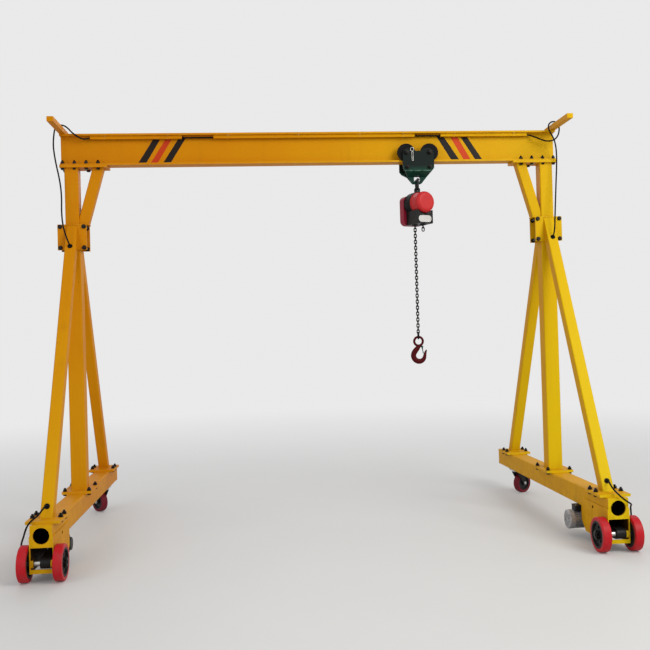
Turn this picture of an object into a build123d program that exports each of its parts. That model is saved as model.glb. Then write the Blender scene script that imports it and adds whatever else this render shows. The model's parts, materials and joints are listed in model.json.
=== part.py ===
"""Light workshop gantry crane: an I-beam girder on two A-frame legs, with a powered wheel
pair under the front of each leg, a swivel castor under the rear, and a chain hoist that
hangs from a push trolley on the girder's lower flange.

Millimetres. X runs along the girder, Y from front to rear, Z up. The origin is on the floor
below the middle of the girder.
"""
from build123d import *
from math import atan2, cos, degrees, pi, radians, sin, tan
import os

os.makedirs("parts", exist_ok=True)

# Whole crane
half_span = 1622.0
girder_top = 2684.0
axle_y = 1000.0
castor_y = 800.0
running_clearance = 0.05
bond_gap = 0.1
rest_gap = 0.3
moving_gap = 5.0

# Girder
girder_overhang = 71.0
girder_height = 210.0
flange_width = 100.0
flange_thickness = 12.0
web_thickness = 8.0
web_fillet = 10.0

# Leg heads, posts and knee braces
head_plate_length = 310.0
head_plate_width = 130.0
head_plate_thickness = 16.0
upper_leg = 378.0
post_wall = 4.0
post_gap = 0.5
post_overlap = 250.0
brace_size = 70.0
brace_wall = 4.0
brace_top_inset = 174.0
brace_foot_inset = 66.0

# Columns and splice plates
column_size = 100.0
column_wall = 4.5
splice_plate_width = 188.0
splice_plate_height = 170.0
splice_plate_thickness = 10.0
tube_corner = 8.0

# Struts and feet
strut_size = 70.0
strut_wall = 4.0
strut_foot_inset = 157.0
foot_plate_thickness = 8.0
foot_plate_width = 186.0
strut_foot_length = 240.0
column_foot_length = 260.0

# Ground beams
beam_size = 120.0
beam_wall = 5.0
beam_nose = 32.0
beam_rear = 1100.0
end_plate_thickness = 10.0
end_hole = 90.0
end_hole_drop = 57.0

# Drive housings
housing_plate = 5.0
housing_length = 355.0
housing_rise = 60.0
housing_drop = 50.0
housing_bar_height = 22.0
housing_corner = 60.0
plug_hole = 18.0
plug_hole_back = 180.0
plug_hole_rise = 32.0
bearing_boss = 58.0
bearing_length = 14.0

# Drive wheels
wheel_diameter = 200.0
wheel_width = 50.0
tyre_thickness = 20.0
tyre_round = 6.0
hub_round = 2.0
hub_rim = 12.0
hub_boss = 52.0
wheel_dish = 12.0
axle_diameter = 30.0
axle_nut = 44.0
axle_nut_length = 10.0

# Gear units and motors
gear_case = 60.0
gear_inner = 10.0
gear_outer = 44.0
gear_lug_length = 40.0
gear_lug_height = 70.0
gear_lug_front = 70.0
gear_lug_rear_inset = 75.0
gear_cap = 78.0
gear_cap_end = 64.0
gear_cap_round = 6.0
motor_clearance = 4.0
motor_diameter = 118.0
motor_core = 98.0
motor_flange = 116.0
motor_flange_thickness = 12.0
motor_end = 135.0
motor_fins = 24
motor_fin_thickness = 3.0
fan_cover_length = 34.0
fan_slots = 10
fan_slot_width = 5.0
fan_slot_depth = 6.0
fan_boss = 36.0
fan_rim = 14.0
terminal_box_inner = 92.0
terminal_box_outer = 26.0
terminal_box_length = 60.0
terminal_box_rise = 27.0
terminal_box_sink = 14.0
terminal_box_corner = 5.0
lead_gland = 16.0
lead_gland_length = 20.0
lead_gland_drop = 14.0
left_gland = 80.0

# Castors
castor_wheel = 150.0
castor_width = 46.0
castor_tyre_thickness = 19.0
castor_rim = 8.0
castor_boss = 36.0
castor_dish = 10.0
castor_trail = 45.0
castor_crown_gap = 13.5
castor_crown = 8.0
castor_plate_size = 110.0
castor_plate_thickness = 8.0
castor_race = 76.0
castor_race_height = 10.0
castor_race_gap = 0.5
castor_cheek = 5.0
castor_cheek_gap = 3.0
castor_cheek_width = 64.0
castor_cheek_end = 34.0
castor_axle = 12.0
castor_nut = 20.0
castor_nut_length = 6.0
castor_pin = 16.0
castor_pin_end = 1.0
right_castor_turn = 28.6
left_castor_turn = 133.3

# Cable arms, conduit and cables
arm_width = 40.0
arm_height = 30.0
arm_wall = 3.0
arm_reach = 380.0
conduit_size = 22.0
conduit_wall = 2.0
conduit_end_inset = 127.0
conduit_gaps = ((-889.0, -677.0), (701.0, 884.0))
cable_diameter = 10.0
cable_inside = 8.0
cable_outside = 20.0
arc_share = 0.45
cable_hole = 24.0
grommet_lip = 32.0
grommet_lip_thickness = 3.0
upper_hole_drop = 168.0
lower_hole_rise = 44.0

# Trolley
trolley_x = 714.0
trolley_plate = 8.0
trolley_plate_gap = 7.0
trolley_half_width = 108.0
trolley_plate_rise = 76.0
trolley_shoulder_drop = 62.0
trolley_bend_drop = 82.0
trolley_neck_drop = 112.0
trolley_tip_drop = 158.0
trolley_tip_half_width = 30.0
trolley_tip_half_gap = 7.0
trolley_corner = 12.0
trolley_ear = 40.0
trolley_notch_half = 38.0
trolley_notch_depth = 20.0
trolley_wheel_spacing = 160.0
trolley_tread = 96.0
trolley_flange = 124.0
trolley_tread_width = 26.0
trolley_flange_width = 9.0
trolley_wheel_gap = 4.0
trolley_axle = 20.0
trolley_axle_end = 8.0
window_width = 44.0
window_sill = 16.0
window_height = 36.0
spacer_diameter = 16.0
spacer_drop = 42.0
spacer_spacing = 156.0
spacer_end = 10.0
spacer_collar = 24.0
spacer_collar_length = 8.0

# Hoist
shackle_bar = 16.0
shackle_half_width = 31.0
shackle_drop = 66.0
shackle_boss = 20.0
hoist_turn = 23.0
hoist_body_front = 18.0
hoist_body_size = 156.0
hoist_fin = 6.0
hoist_fin_rise = 3.0
hoist_fin_step = 12.0
hoist_fins = 5
lug_rise = 18.0
lug_sink = 10.0
lug_width = 14.0
lug_radius = 20.0
lug_clearance = 1.2
cover_back = 105.0
cover_thickness = 55.0
cover_width = 168.0
cover_rise = 58.0
cover_corner = 36.0
cover_round = 12.0
cap_diameter = 146.0
cap_front = 112.0
cap_rise = 26.0
cap_face = 92.0
cap_swell = 7.5
box_front = 92.0
box_width = 122.0
box_height = 100.0
box_drop = 147.0
chain_guide = 34.0
chain_guide_depth = 46.0
chain_pin = 6.0
chain_pin_rise = 14.0
chain_pin_end = 2.0

# Load chain, hook and latch
chain_offset = (-22.0, 0.0)
tail_offset = (26.0, -40.0)
tail_links = 3
chain_bar = 7.0
chain_inner_length = 21.0
chain_inner_width = 9.0
chain_slack = 0.3
chain_links = 37
coupling_bar = 9.0
coupling_inner_length = 36.0
coupling_inner_width = 20.0
eye_bar = 15.0
eye_hole = 43.0
hook_thickness = 26.0
hook_round = 3.0
hook_shoulder_angle = 135.0
hook_slip_angle = 152.0
bowl_drop = 97.0
bowl_offset = 5.0
bowl_radius = 25.0
hook_back = 38.5
hook_point_bar = 23.0
hook_neck = 30.0
point_reach = 55.0
point_rise = 38.0
point_width = 9.0
latch_pivot = (24.0, -38.0)
latch_end = (26.0, 12.0)
latch_thickness = 3.0
latch_width = 20.0
latch_lug = 14.0
latch_lug_thickness = 8.0
latch_ear_gap = 0.8
latch_pin = 6.0

# Routes of the free cables between their straight ends, chosen by hand: (x, y, z)
left_power_route = (
    (-1538, -40, 2648), (-1568, -65, 2660), (-1602, -68, 2684), (-1631, -69, 2718),
    (-1657, -69, 2736), (-1692, -69, 2737), (-1715, -70, 2713), (-1722, -71, 2668),
    (-1727, -72, 2606), (-1721, -75, 2544), (-1709, -79, 2472), (-1692, -85, 2394),
    (-1680, -90, 2318), (-1675, -98, 2240), (-1676, -107, 2165), (-1670, -119, 2092),
    (-1656, -136, 2028), (-1636, -152, 1975),
)
right_power_route = (
    (1540, -40, 2644), (1568, -58, 2626), (1604, -63, 2609), (1646, -66, 2602),
    (1684, -68, 2614), (1708, -69, 2643), (1717, -70, 2682), (1713, -71, 2716),
    (1692, -73, 2737), (1659, -77, 2737), (1635, -82, 2716), (1633, -87, 2684),
    (1646, -91, 2652), (1668, -93, 2612), (1680, -93, 2558), (1683, -92, 2490),
    (1680, -92, 2415), (1674, -94, 2340), (1667, -99, 2264), (1659, -107, 2188),
    (1650, -119, 2112), (1640, -135, 2044), (1630, -152, 1985),
)
left_lead_route = (
    (-1636, -930, 378), (-1650, -962, 354), (-1666, -994, 342), (-1684, -1014, 327),
    (-1700, -1014, 304), (-1715, -1001, 272), (-1730, -975, 238), (-1749, -945, 204),
    (-1761, -915, 170), (-1768, -888, 140), (-1760, -852, 118), (-1740, -802, 107),
    (-1722, -750, 116), (-1710, -706, 136), (-1703, -672, 158),
)
right_lead_route = (
    (1618, -936, 378), (1617, -972, 359), (1618, -1006, 346), (1624, -1038, 333),
    (1636, -1055, 317), (1652, -1057, 304), (1671, -1052, 291), (1691, -1040, 279),
    (1708, -1016, 268), (1720, -984, 257), (1732, -950, 238), (1747, -922, 206),
    (1758, -900, 170), (1762, -876, 140), (1752, -844, 118), (1734, -798, 107),
    (1717, -744, 110), (1706, -690, 124), (1702, -638, 143), (1688, -602, 160),
    (1664, -584, 171),
)

# Sizes and places that follow
girder_length = 2 * (half_span + girder_overhang)
girder_bottom = girder_top - girder_height
rail_top = girder_bottom + flange_thickness
head_bottom = girder_bottom - head_plate_thickness
post_size = column_size - 2 * column_wall - 2 * post_gap
splice_top = head_bottom - upper_leg
splice_bottom = splice_top - splice_plate_height
splice_middle = (splice_top + splice_bottom) / 2
splice_face = column_size / 2 + splice_plate_thickness
castor_axle_height = castor_wheel / 2
crown_bottom = castor_wheel + castor_crown_gap
crown_top = crown_bottom + castor_crown
race_bottom = crown_top + castor_race_gap
castor_plate_bottom = race_bottom + castor_race_height
beam_bottom = castor_plate_bottom + castor_plate_thickness
beam_top = beam_bottom + beam_size
beam_front = axle_y + beam_nose
foot_middle = beam_top + foot_plate_thickness
foot_top = foot_middle + foot_plate_thickness
strut_foot_y = beam_front - strut_foot_inset
axle_height = wheel_diameter / 2
housing_half = beam_size / 2 + housing_plate
housing_bottom = axle_height - housing_drop
wheel_offset = housing_half + moving_gap + wheel_width / 2
wheel_rim = wheel_diameter - 2 * tyre_thickness
motor_y = -axle_y + housing_length + motor_clearance + motor_diameter / 2
motor_height = axle_height
gear_lugs = (-axle_y + gear_lug_front, -axle_y + housing_length - gear_lug_rear_inset)
terminal_box_top = motor_height + motor_diameter / 2 + terminal_box_rise
lead_gland_height = terminal_box_top - lead_gland_drop
cheek_inner = castor_width / 2 + castor_cheek_gap
cheek_outer = cheek_inner + castor_cheek
castor_hub_size = castor_wheel - 2 * castor_tyre_thickness
conduit_y = -web_thickness / 2 - web_fillet - conduit_size / 2
conduit_height = girder_top - flange_thickness - conduit_size / 2
conduit_end = half_span - conduit_end_inset
cable_height = conduit_height - conduit_size / 2 + conduit_wall + bond_gap + cable_diameter / 2
trolley_inner = flange_width / 2 + trolley_wheel_gap
plate_inner = trolley_inner + trolley_flange_width + trolley_plate_gap
plate_outer = plate_inner + trolley_plate
trolley_wheel_height = rail_top + rest_gap + trolley_tread / 2
trolley_tip = rail_top - trolley_tip_drop
spacer_height = girder_bottom - spacer_drop
pivot_height = trolley_tip + window_sill + shackle_bar / 2 + rest_gap
shackle_low = pivot_height - shackle_drop
hoist_height = shackle_low - lug_rise - hoist_body_size / 2
hoist_back = cover_back - cover_thickness
box_bottom = hoist_height - box_drop
chain_place = (trolley_x + chain_offset[0], chain_offset[1])
tail_place = (trolley_x + tail_offset[0], tail_offset[1])
chain_step = chain_inner_length - chain_slack
guide_pin_height = box_bottom + chain_pin_rise
top_link_height = guide_pin_height + chain_pin / 2 + chain_slack - chain_inner_length / 2
lowest_link_height = top_link_height - (chain_links - 1) * chain_step
chain_end = lowest_link_height - chain_inner_length / 2 + chain_slack
coupling_height = chain_end - coupling_inner_length / 2
hook_eye_height = coupling_height - coupling_inner_length / 2 + chain_slack - eye_hole / 2
hoist_place = Pos(trolley_x, 0, 0) * Rot(0, 0, hoist_turn)


def block(x0, x1, y0, y1, z0, z1):
    """A box between two corners."""
    centre = Pos((x0 + x1) / 2, (y0 + y1) / 2, (z0 + z1) / 2)
    return centre * Box(abs(x1 - x0), abs(y1 - y0), abs(z1 - z0))


def square_tube(size, wall, length):
    """A hollow square tube with rounded corners, from the XY plane up."""
    outer = RectangleRounded(size, size, tube_corner)
    inner = RectangleRounded(size - 2 * wall, size - 2 * wall, tube_corner - wall / 2)
    return extrude(outer - inner, length)


def rod_x(diameter, x0, x1, y, z):
    """A round bar along X."""
    return Pos((x0 + x1) / 2, y, z) * Rot(0, 90, 0) * Cylinder(diameter / 2, abs(x1 - x0))


def rod_y(diameter, y0, y1, x, z):
    """A round bar along Y."""
    return Pos(x, (y0 + y1) / 2, z) * Rot(90, 0, 0) * Cylinder(diameter / 2, abs(y1 - y0))


def rod_z(diameter, z0, z1, x, y):
    """A round bar along Z."""
    return Pos(x, y, (z0 + z1) / 2) * Cylinder(diameter / 2, abs(z1 - z0))


def write(name, *shapes):
    """Write one node, whose shapes may be separate solids."""
    solids = []
    for shape in shapes:
        solids.extend(shape.solids())
    whole = solids[0] if len(solids) == 1 else Compound(children=solids)
    whole.label = name
    export_step(whole, "parts/" + name + ".step")


def both(make):
    """The left and the right copy of a piece that is placed by its side."""
    return make(-1), make(1)


# Girder and leg heads
def girder():
    half = girder_height / 2
    section = Rectangle(flange_width, girder_height)
    pocket_width = (flange_width - web_thickness) / 2
    for side in (-1, 1):
        offset = side * (web_thickness / 2 + pocket_width)
        pocket = RectangleRounded(2 * pocket_width, girder_height - 2 * flange_thickness, web_fillet)
        section -= Pos(offset, 0) * pocket
    across = Plane(origin=(-girder_length / 2, 0, girder_top - half), x_dir=(0, 1, 0), z_dir=(1, 0, 0))
    return extrude(across * section, girder_length)


def head_plate(side):
    outer_end = girder_length / 2
    inner_end = outer_end - head_plate_length
    half = head_plate_width / 2
    return block(side * inner_end, side * outer_end, -half, half, head_bottom, girder_bottom)


def upper_post(side):
    bottom = splice_top - post_overlap
    return Pos(side * half_span, 0, bottom) * square_tube(post_size, post_wall, head_bottom - bottom)


def knee_brace(side):
    """Square tube from the head plate down to the post, cut flush at both."""
    top = Vector(side * (half_span - brace_top_inset), 0, head_bottom)
    foot = Vector(side * (half_span - brace_foot_inset), 0, splice_top)
    axis = foot - top
    start = top - axis.normalized() * brace_size
    along = Plane(origin=start, x_dir=(0, 1, 0), z_dir=axis)
    tube = along * square_tube(brace_size, brace_wall, axis.length + 2 * brace_size)
    post_face = half_span - post_size / 2
    room = block(0, side * post_face, -brace_size, brace_size, splice_top, head_bottom)
    return tube & room


# Columns, splice plates, struts and feet
def column(side):
    return Pos(side * half_span, 0, foot_top) * square_tube(column_size, column_wall, splice_top - foot_top)


def foot_plates(bottom):
    """Three plates along each ground beam, under the struts and the column."""
    plates = []
    half = foot_plate_width / 2
    feet = ((-strut_foot_y, strut_foot_length), (0, column_foot_length), (strut_foot_y, strut_foot_length))
    for side in (-1, 1):
        middle = side * half_span
        for y, length in feet:
            front = y - length / 2
            rear = y + length / 2
            top = bottom + foot_plate_thickness
            plates.append(block(middle - half, middle + half, front, rear, bottom, top))
    return plates


def splice_plates(side):
    middle = side * half_span
    half = splice_plate_width / 2
    plates = []
    for face in (-1, 1):
        near = face * column_size / 2
        far = face * splice_face
        plates.append(block(middle - half, middle + half, near, far, splice_bottom, splice_top))
    return plates


def strut_line(side, face):
    """Foot and axis of a strut; face is -1 at the front, 1 at the rear."""
    foot = Vector(side * half_span, face * strut_foot_y, foot_top)
    head = Vector(side * half_span, face * splice_face, splice_middle)
    return foot, head - foot


def cable_ways(side):
    """Planes on a front strut's outer face where a cable goes in or out, upper and lower."""
    foot, axis = strut_line(side, -1)
    outward = Vector(0, -axis.Z, axis.Y).normalized()
    ways = []
    for height in (splice_top - upper_hole_drop, foot_top + lower_hole_rise):
        centre = foot + axis * ((height - foot.Z) / axis.Z) + outward * (strut_size / 2)
        ways.append(Plane(origin=centre, x_dir=(1, 0, 0), z_dir=outward))
    return ways


def strut(side, face):
    """One leg strut, mitred against its splice plate and its foot plate."""
    middle = side * half_span
    foot, axis = strut_line(side, face)
    start = foot - axis.normalized() * 2 * strut_size
    along = Plane(origin=start, x_dir=(1, 0, 0), z_dir=axis)
    tube = along * square_tube(strut_size, strut_wall, axis.length + 6 * strut_size)
    far = face * (strut_foot_y + 2 * strut_size)
    near = face * splice_face
    tube = tube & block(middle - strut_size, middle + strut_size, near, far, foot_top, girder_top)
    if face < 0:
        for way in cable_ways(side):
            tube = tube - way * Cylinder(cable_hole / 2, 3 * strut_wall)
    return tube


def ground_beam(side):
    middle = side * half_span
    half = beam_size / 2
    front = -beam_front + end_plate_thickness
    length = beam_rear - end_plate_thickness - front
    along = Plane(origin=(middle, front, beam_bottom + half), z_dir=(0, 1, 0))
    beam = along * square_tube(beam_size, beam_wall, length)
    beam = beam + block(middle - half, middle + half, front + length, beam_rear, beam_bottom, beam_top)
    return beam - plug_holes(middle)


# Drive housings
def plug_holes(middle):
    """The round hole through both side plates and the beam's walls."""
    reach = 2 * housing_half
    height = beam_bottom + plug_hole_rise
    return rod_x(plug_hole, middle - reach, middle + reach, -axle_y + plug_hole_back, height)


def front_plate(side):
    """End plate of the beam, with its round hole."""
    middle = side * half_span
    half = beam_size / 2
    front = -beam_front
    rear = front + end_plate_thickness
    plate = block(middle - half, middle + half, front, rear, beam_bottom, beam_top)
    return plate - rod_y(end_hole, 2 * front, 0, middle, beam_top - end_hole_drop)


def drive_housing(side):
    """Two side plates with bearing bosses, tied by a bar under the opening."""
    middle = side * half_span
    half = beam_size / 2
    rear = -axle_y + housing_length
    top = beam_bottom + housing_rise
    with BuildSketch(Plane.YZ) as outline:
        with BuildLine():
            Polyline(
                (-beam_front, housing_bottom),
                (rear - housing_corner, housing_bottom),
                (rear, housing_bottom + housing_corner),
                (rear, top),
                (-beam_front, top),
                close=True,
            )
        make_face()
    bar_rear = -beam_front + end_plate_thickness
    bar_top = housing_bottom + housing_bar_height
    housing = block(middle - half, middle + half, -beam_front, bar_rear, housing_bottom, bar_top)
    for face in (-1, 1):
        near = middle + face * half
        plate = Pos(min(near, near + face * housing_plate), 0, 0) * extrude(outline.sketch, housing_plate)
        boss = rod_x(bearing_boss, near - face * bearing_length, near, -axle_y, axle_height)
        housing = housing + plate + boss
    bore = axle_diameter + 2 * running_clearance
    reach = 2 * housing_half
    housing = housing - rod_x(bore, middle - reach, middle + reach, -axle_y, axle_height)
    return housing - plug_holes(middle)


def gear_unit(side):
    """Cast gear case from the axle back to the motor, held by two lugs on the right side plate."""
    with BuildSketch(Plane.YZ) as outline:
        with Locations((-axle_y, axle_height)):
            Circle(gear_case / 2)
        with Locations((motor_y, motor_height)):
            Circle(motor_flange / 2)
        with BuildLine():
            Polyline(
                (-axle_y, axle_height - gear_case / 2),
                (motor_y, motor_height - motor_flange / 2),
                (motor_y, motor_height + motor_flange / 2),
                (-axle_y, axle_height + gear_case / 2),
                close=True,
            )
        make_face()
    case = Pos(-gear_inner, 0, 0) * extrude(outline.sketch, gear_inner + gear_outer)
    half = gear_lug_height / 2
    for front in gear_lugs:
        rear = front + gear_lug_length
        case = case + block(0, beam_size / 2, front, rear, axle_height - half, axle_height + half)
    cap = rod_x(gear_cap, gear_outer, gear_cap_end, motor_y, motor_height)
    case = case + fillet(cap.edges().group_by(Axis.X)[-1], gear_cap_round)
    bore = axle_diameter + 2 * running_clearance
    case = case - rod_x(bore, -beam_size, beam_size, -axle_y, axle_height)
    return Pos(side * half_span, 0, 0) * case


def drive_motor(side):
    """Finned flange motor across the beam, with a slotted fan cover at its left end."""
    flange_end = -gear_inner - motor_flange_thickness
    cover_start = -motor_end + fan_cover_length
    motor = rod_x(motor_core, cover_start, flange_end, 0, 0)
    fin_half = motor_fin_thickness / 2
    fin = block(cover_start, flange_end, -fin_half, fin_half, 0, motor_diameter / 2 - fin_half)
    for index in range(motor_fins):
        motor = motor + Rot(index * 360 / motor_fins, 0, 0) * fin
    motor = motor + rod_x(motor_flange, flange_end, -gear_inner, 0, 0)
    cover = rod_x(motor_diameter, -motor_end, cover_start, 0, 0)
    cover = fillet(cover.edges().group_by(Axis.X)[0], tube_corner)
    slot_half = fan_slot_width / 2
    slot_end = -motor_end + fan_slot_depth
    slot = block(-motor_end, slot_end, -slot_half, slot_half, fan_boss / 2, motor_diameter / 2 - fan_rim)
    for index in range(fan_slots):
        cover = cover - Rot(index * 360 / fan_slots, 0, 0) * slot
    return Pos(side * half_span, motor_y, motor_height) * (motor + cover)


def terminal_box(side):
    """Box on top of the motor, with a gland for its lead: to the right, or on the left leg to the front."""
    half = terminal_box_length / 2
    low = terminal_box_top - terminal_box_rise - terminal_box_sink
    inner = -terminal_box_inner
    outer = -terminal_box_outer
    box = block(inner, outer, motor_y - half, motor_y + half, low, terminal_box_top)
    box = fillet(box.edges().filter_by(Axis.Z), terminal_box_corner)
    if side > 0:
        box = box + rod_x(lead_gland, outer, outer + lead_gland_length, motor_y, lead_gland_height)
    else:
        front = motor_y - half
        box = box + rod_y(lead_gland, front - lead_gland_length, front, -left_gland, lead_gland_height)
    room = motor_diameter + 2 * bond_gap
    box = box - rod_x(room, -2 * motor_end, 0, motor_y, motor_height)
    return Pos(side * half_span, 0, 0) * box


# Drive wheels
def drive_axle(side):
    middle = side * half_span
    outer = wheel_offset + wheel_width / 2
    axle = rod_x(axle_diameter, middle - outer, middle + outer, -axle_y, axle_height)
    for face in (-1, 1):
        end = middle + face * outer
        axle = axle + rod_x(axle_nut, end, end + face * axle_nut_length, -axle_y, axle_height)
    return axle


def wheel_ring(outer, inner, width, corner):
    """A ring about X, rounded at its outer corners."""
    ring = Rot(0, 90, 0) * (Cylinder(outer / 2, width) - Cylinder(inner / 2, width))
    rims = ring.edges().filter_by(GeomType.CIRCLE).sort_by(SortBy.RADIUS)[-2:]
    return fillet(rims, corner)


def dished_hub(size, bore, width, rim, boss, depth):
    """A wheel centre, hollowed on both faces between its rim and its boss."""
    hub = wheel_ring(size, bore, width, hub_round)
    dish = Rot(0, 90, 0) * (Cylinder(size / 2 - rim, depth) - Cylinder(boss / 2, depth))
    for end in (-1, 1):
        hub = hub - Pos(end * (width - depth) / 2, 0, 0) * dish
    return hub


def drive_wheel_places(side):
    for face in (-1, 1):
        yield Pos(side * half_span + face * wheel_offset, -axle_y, axle_height)


def drive_hubs(side):
    bore = axle_diameter + 2 * bond_gap
    hub = dished_hub(wheel_rim - 2 * bond_gap, bore, wheel_width, hub_rim, hub_boss, wheel_dish)
    return [place * hub for place in drive_wheel_places(side)]


def drive_tyres(side):
    tyre = wheel_ring(wheel_diameter, wheel_rim, wheel_width, tyre_round)
    return [place * tyre for place in drive_wheel_places(side)]


# Castors, built with the trail along local X and the wheel axle along local Y
def castor_place(side):
    turn = left_castor_turn if side < 0 else right_castor_turn
    return Pos(side * half_span, castor_y, 0) * Rot(0, 0, turn)


def castor_plate(side):
    """Top plate with the bearing race and the socket of the king pin."""
    half = castor_plate_size / 2
    plate = block(-half, half, -half, half, castor_plate_bottom, beam_bottom)
    plate = fillet(plate.edges().filter_by(Axis.Z), tube_corner)
    race = rod_z(castor_race, race_bottom, castor_plate_bottom, 0, 0)
    socket = rod_z(castor_pin + 2 * running_clearance, crown_bottom, castor_plate_bottom, 0, 0)
    return Pos(side * half_span, castor_y, 0) * (plate + race - socket)


def castor_fork(side):
    """Crown with its king pin, two cheeks that lean back to the axle, and the axle with its nuts."""
    fork = rod_z(castor_race, crown_bottom, crown_top, 0, 0)
    fork = fork + rod_z(castor_pin, crown_bottom, castor_plate_bottom - castor_pin_end, 0, 0)
    top_half = castor_cheek_width / 2
    end_half = castor_cheek_end / 2
    with BuildSketch(Plane.XZ) as cheek:
        with BuildLine():
            Polyline(
                (-top_half, crown_bottom),
                (top_half, crown_bottom),
                (castor_trail + end_half, castor_axle_height),
                (castor_trail - end_half, castor_axle_height),
                close=True,
            )
        make_face()
        with Locations((castor_trail, castor_axle_height)):
            Circle(end_half)
    bridge_top = crown_bottom + castor_cheek
    fork = fork + block(-top_half, top_half, -cheek_outer, cheek_outer, crown_bottom, bridge_top)
    end = cheek_outer + castor_nut_length
    fork = fork + rod_y(castor_axle, -end, end, castor_trail, castor_axle_height)
    for face in (-1, 1):
        rear = max(face * cheek_inner, face * cheek_outer)
        fork = fork + Pos(0, rear, 0) * extrude(cheek.sketch, castor_cheek)
        fork = fork + rod_y(castor_nut, face * cheek_outer, face * end, castor_trail, castor_axle_height)
    return castor_place(side) * fork


def castor_wheel_at(side, ring):
    return castor_place(side) * Pos(castor_trail, 0, castor_axle_height) * Rot(0, 0, 90) * ring


def castor_hub(side):
    bore = castor_axle + 2 * running_clearance
    size = castor_hub_size - 2 * bond_gap
    hub = dished_hub(size, bore, castor_width, castor_rim, castor_boss, castor_dish)
    return castor_wheel_at(side, hub)


def castor_tyre(side):
    return castor_wheel_at(side, wheel_ring(castor_wheel, castor_hub_size, castor_width, tyre_round))


# Cable arms, conduit and cables
def cable_arm(side):
    """Box-section arm across the girder's end, capped at its front."""
    outer = side * girder_length / 2
    inner = outer - side * arm_width
    rear = flange_width / 2
    top = girder_top + arm_height
    arm = block(inner, outer, -arm_reach, rear, girder_top, top)
    inside_x = (inner + side * arm_wall, outer - side * arm_wall)
    return arm - block(*inside_x, -arm_reach + arm_wall, rear, girder_top + arm_wall, top - arm_wall)


def conduit():
    """Square conduit under the top flange, in lengths."""
    section = Rectangle(conduit_size, conduit_size)
    section -= Rectangle(conduit_size - 2 * conduit_wall, conduit_size - 2 * conduit_wall)
    ends = [-conduit_end]
    for gap in conduit_gaps:
        ends.extend(gap)
    ends.append(conduit_end)
    lengths = []
    for start, end in zip(ends[0::2], ends[1::2]):
        along = Plane(origin=(start, conduit_y, conduit_height), x_dir=(0, 1, 0), z_dir=(1, 0, 0))
        lengths.append(extrude(along * section, end - start))
    return lengths


def conduit_cable():
    """The cable that lies in the conduit and shows in its gaps."""
    return rod_x(cable_diameter, -conduit_end, conduit_end, conduit_y, cable_height)


def grommets():
    """Rubber rings in the cable holes of the front struts."""
    rings = []
    for way in cable_ways(-1) + cable_ways(1):
        lip = extrude(Circle(grommet_lip / 2), grommet_lip_thickness)
        sleeve = extrude(Circle(cable_hole / 2 - bond_gap), -strut_wall)
        bore = Cylinder(cable_diameter / 2 + bond_gap, 3 * strut_wall)
        rings.append(way * (lip + sleeve - bore))
    return rings


def cable(name, points):
    """A round cable along straight runs with the largest tangent arcs between them."""
    radii = []
    for before, here, after in zip(points, points[1:], points[2:]):
        first = here - before
        second = after - here
        half_turn = radians(first.get_angle(second)) / 2
        radii.append(arc_share * min(first.length, second.length) / tan(half_turn))
    path = FilletPolyline(*points, radius=radii)
    start = Plane(origin=points[0], z_dir=points[1] - points[0])
    tube = sweep(start * Circle(cable_diameter / 2), path=path)
    plain_volume = path.length * pi * cable_diameter ** 2 / 4
    print(name, "length", round(path.length), "radii", [round(radius) for radius in radii])
    print(name, "volume over section times length", round(tube.volume / plain_volume, 4))
    print(name, "ends", points[0], points[1], points[-2], points[-1])
    return tube


def way_points(way):
    """Just inside a cable hole and straight out of it."""
    return way.origin - way.z_dir * cable_inside, way.origin + way.z_dir * cable_outside


def power_cable(side):
    """From the conduit's end, over the arm, into the upper hole of the front strut."""
    route = left_power_route if side < 0 else right_power_route
    start = Vector(side * conduit_end, conduit_y, cable_height)
    out = start + Vector(side * cable_outside, 0, 0)
    inside, outside = way_points(cable_ways(side)[0])
    return [start, out] + [Vector(*point) for point in route] + [outside, inside]


def motor_lead(side):
    """From the lower hole of the front strut, round the wheel, to the gland of the motor's terminal box."""
    route = left_lead_route if side < 0 else right_lead_route
    inside, outside = way_points(cable_ways(side)[1])
    if side > 0:
        end = Vector(half_span - terminal_box_outer + lead_gland_length, motor_y, lead_gland_height)
        before = end + Vector(cable_outside, 0, 0)
    else:
        gland_y = motor_y - terminal_box_length / 2 - lead_gland_length
        end = Vector(-half_span - left_gland, gland_y, lead_gland_height)
        before = end - Vector(0, cable_outside, 0)
    return [inside, outside] + [Vector(*point) for point in route] + [before, end]


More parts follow.
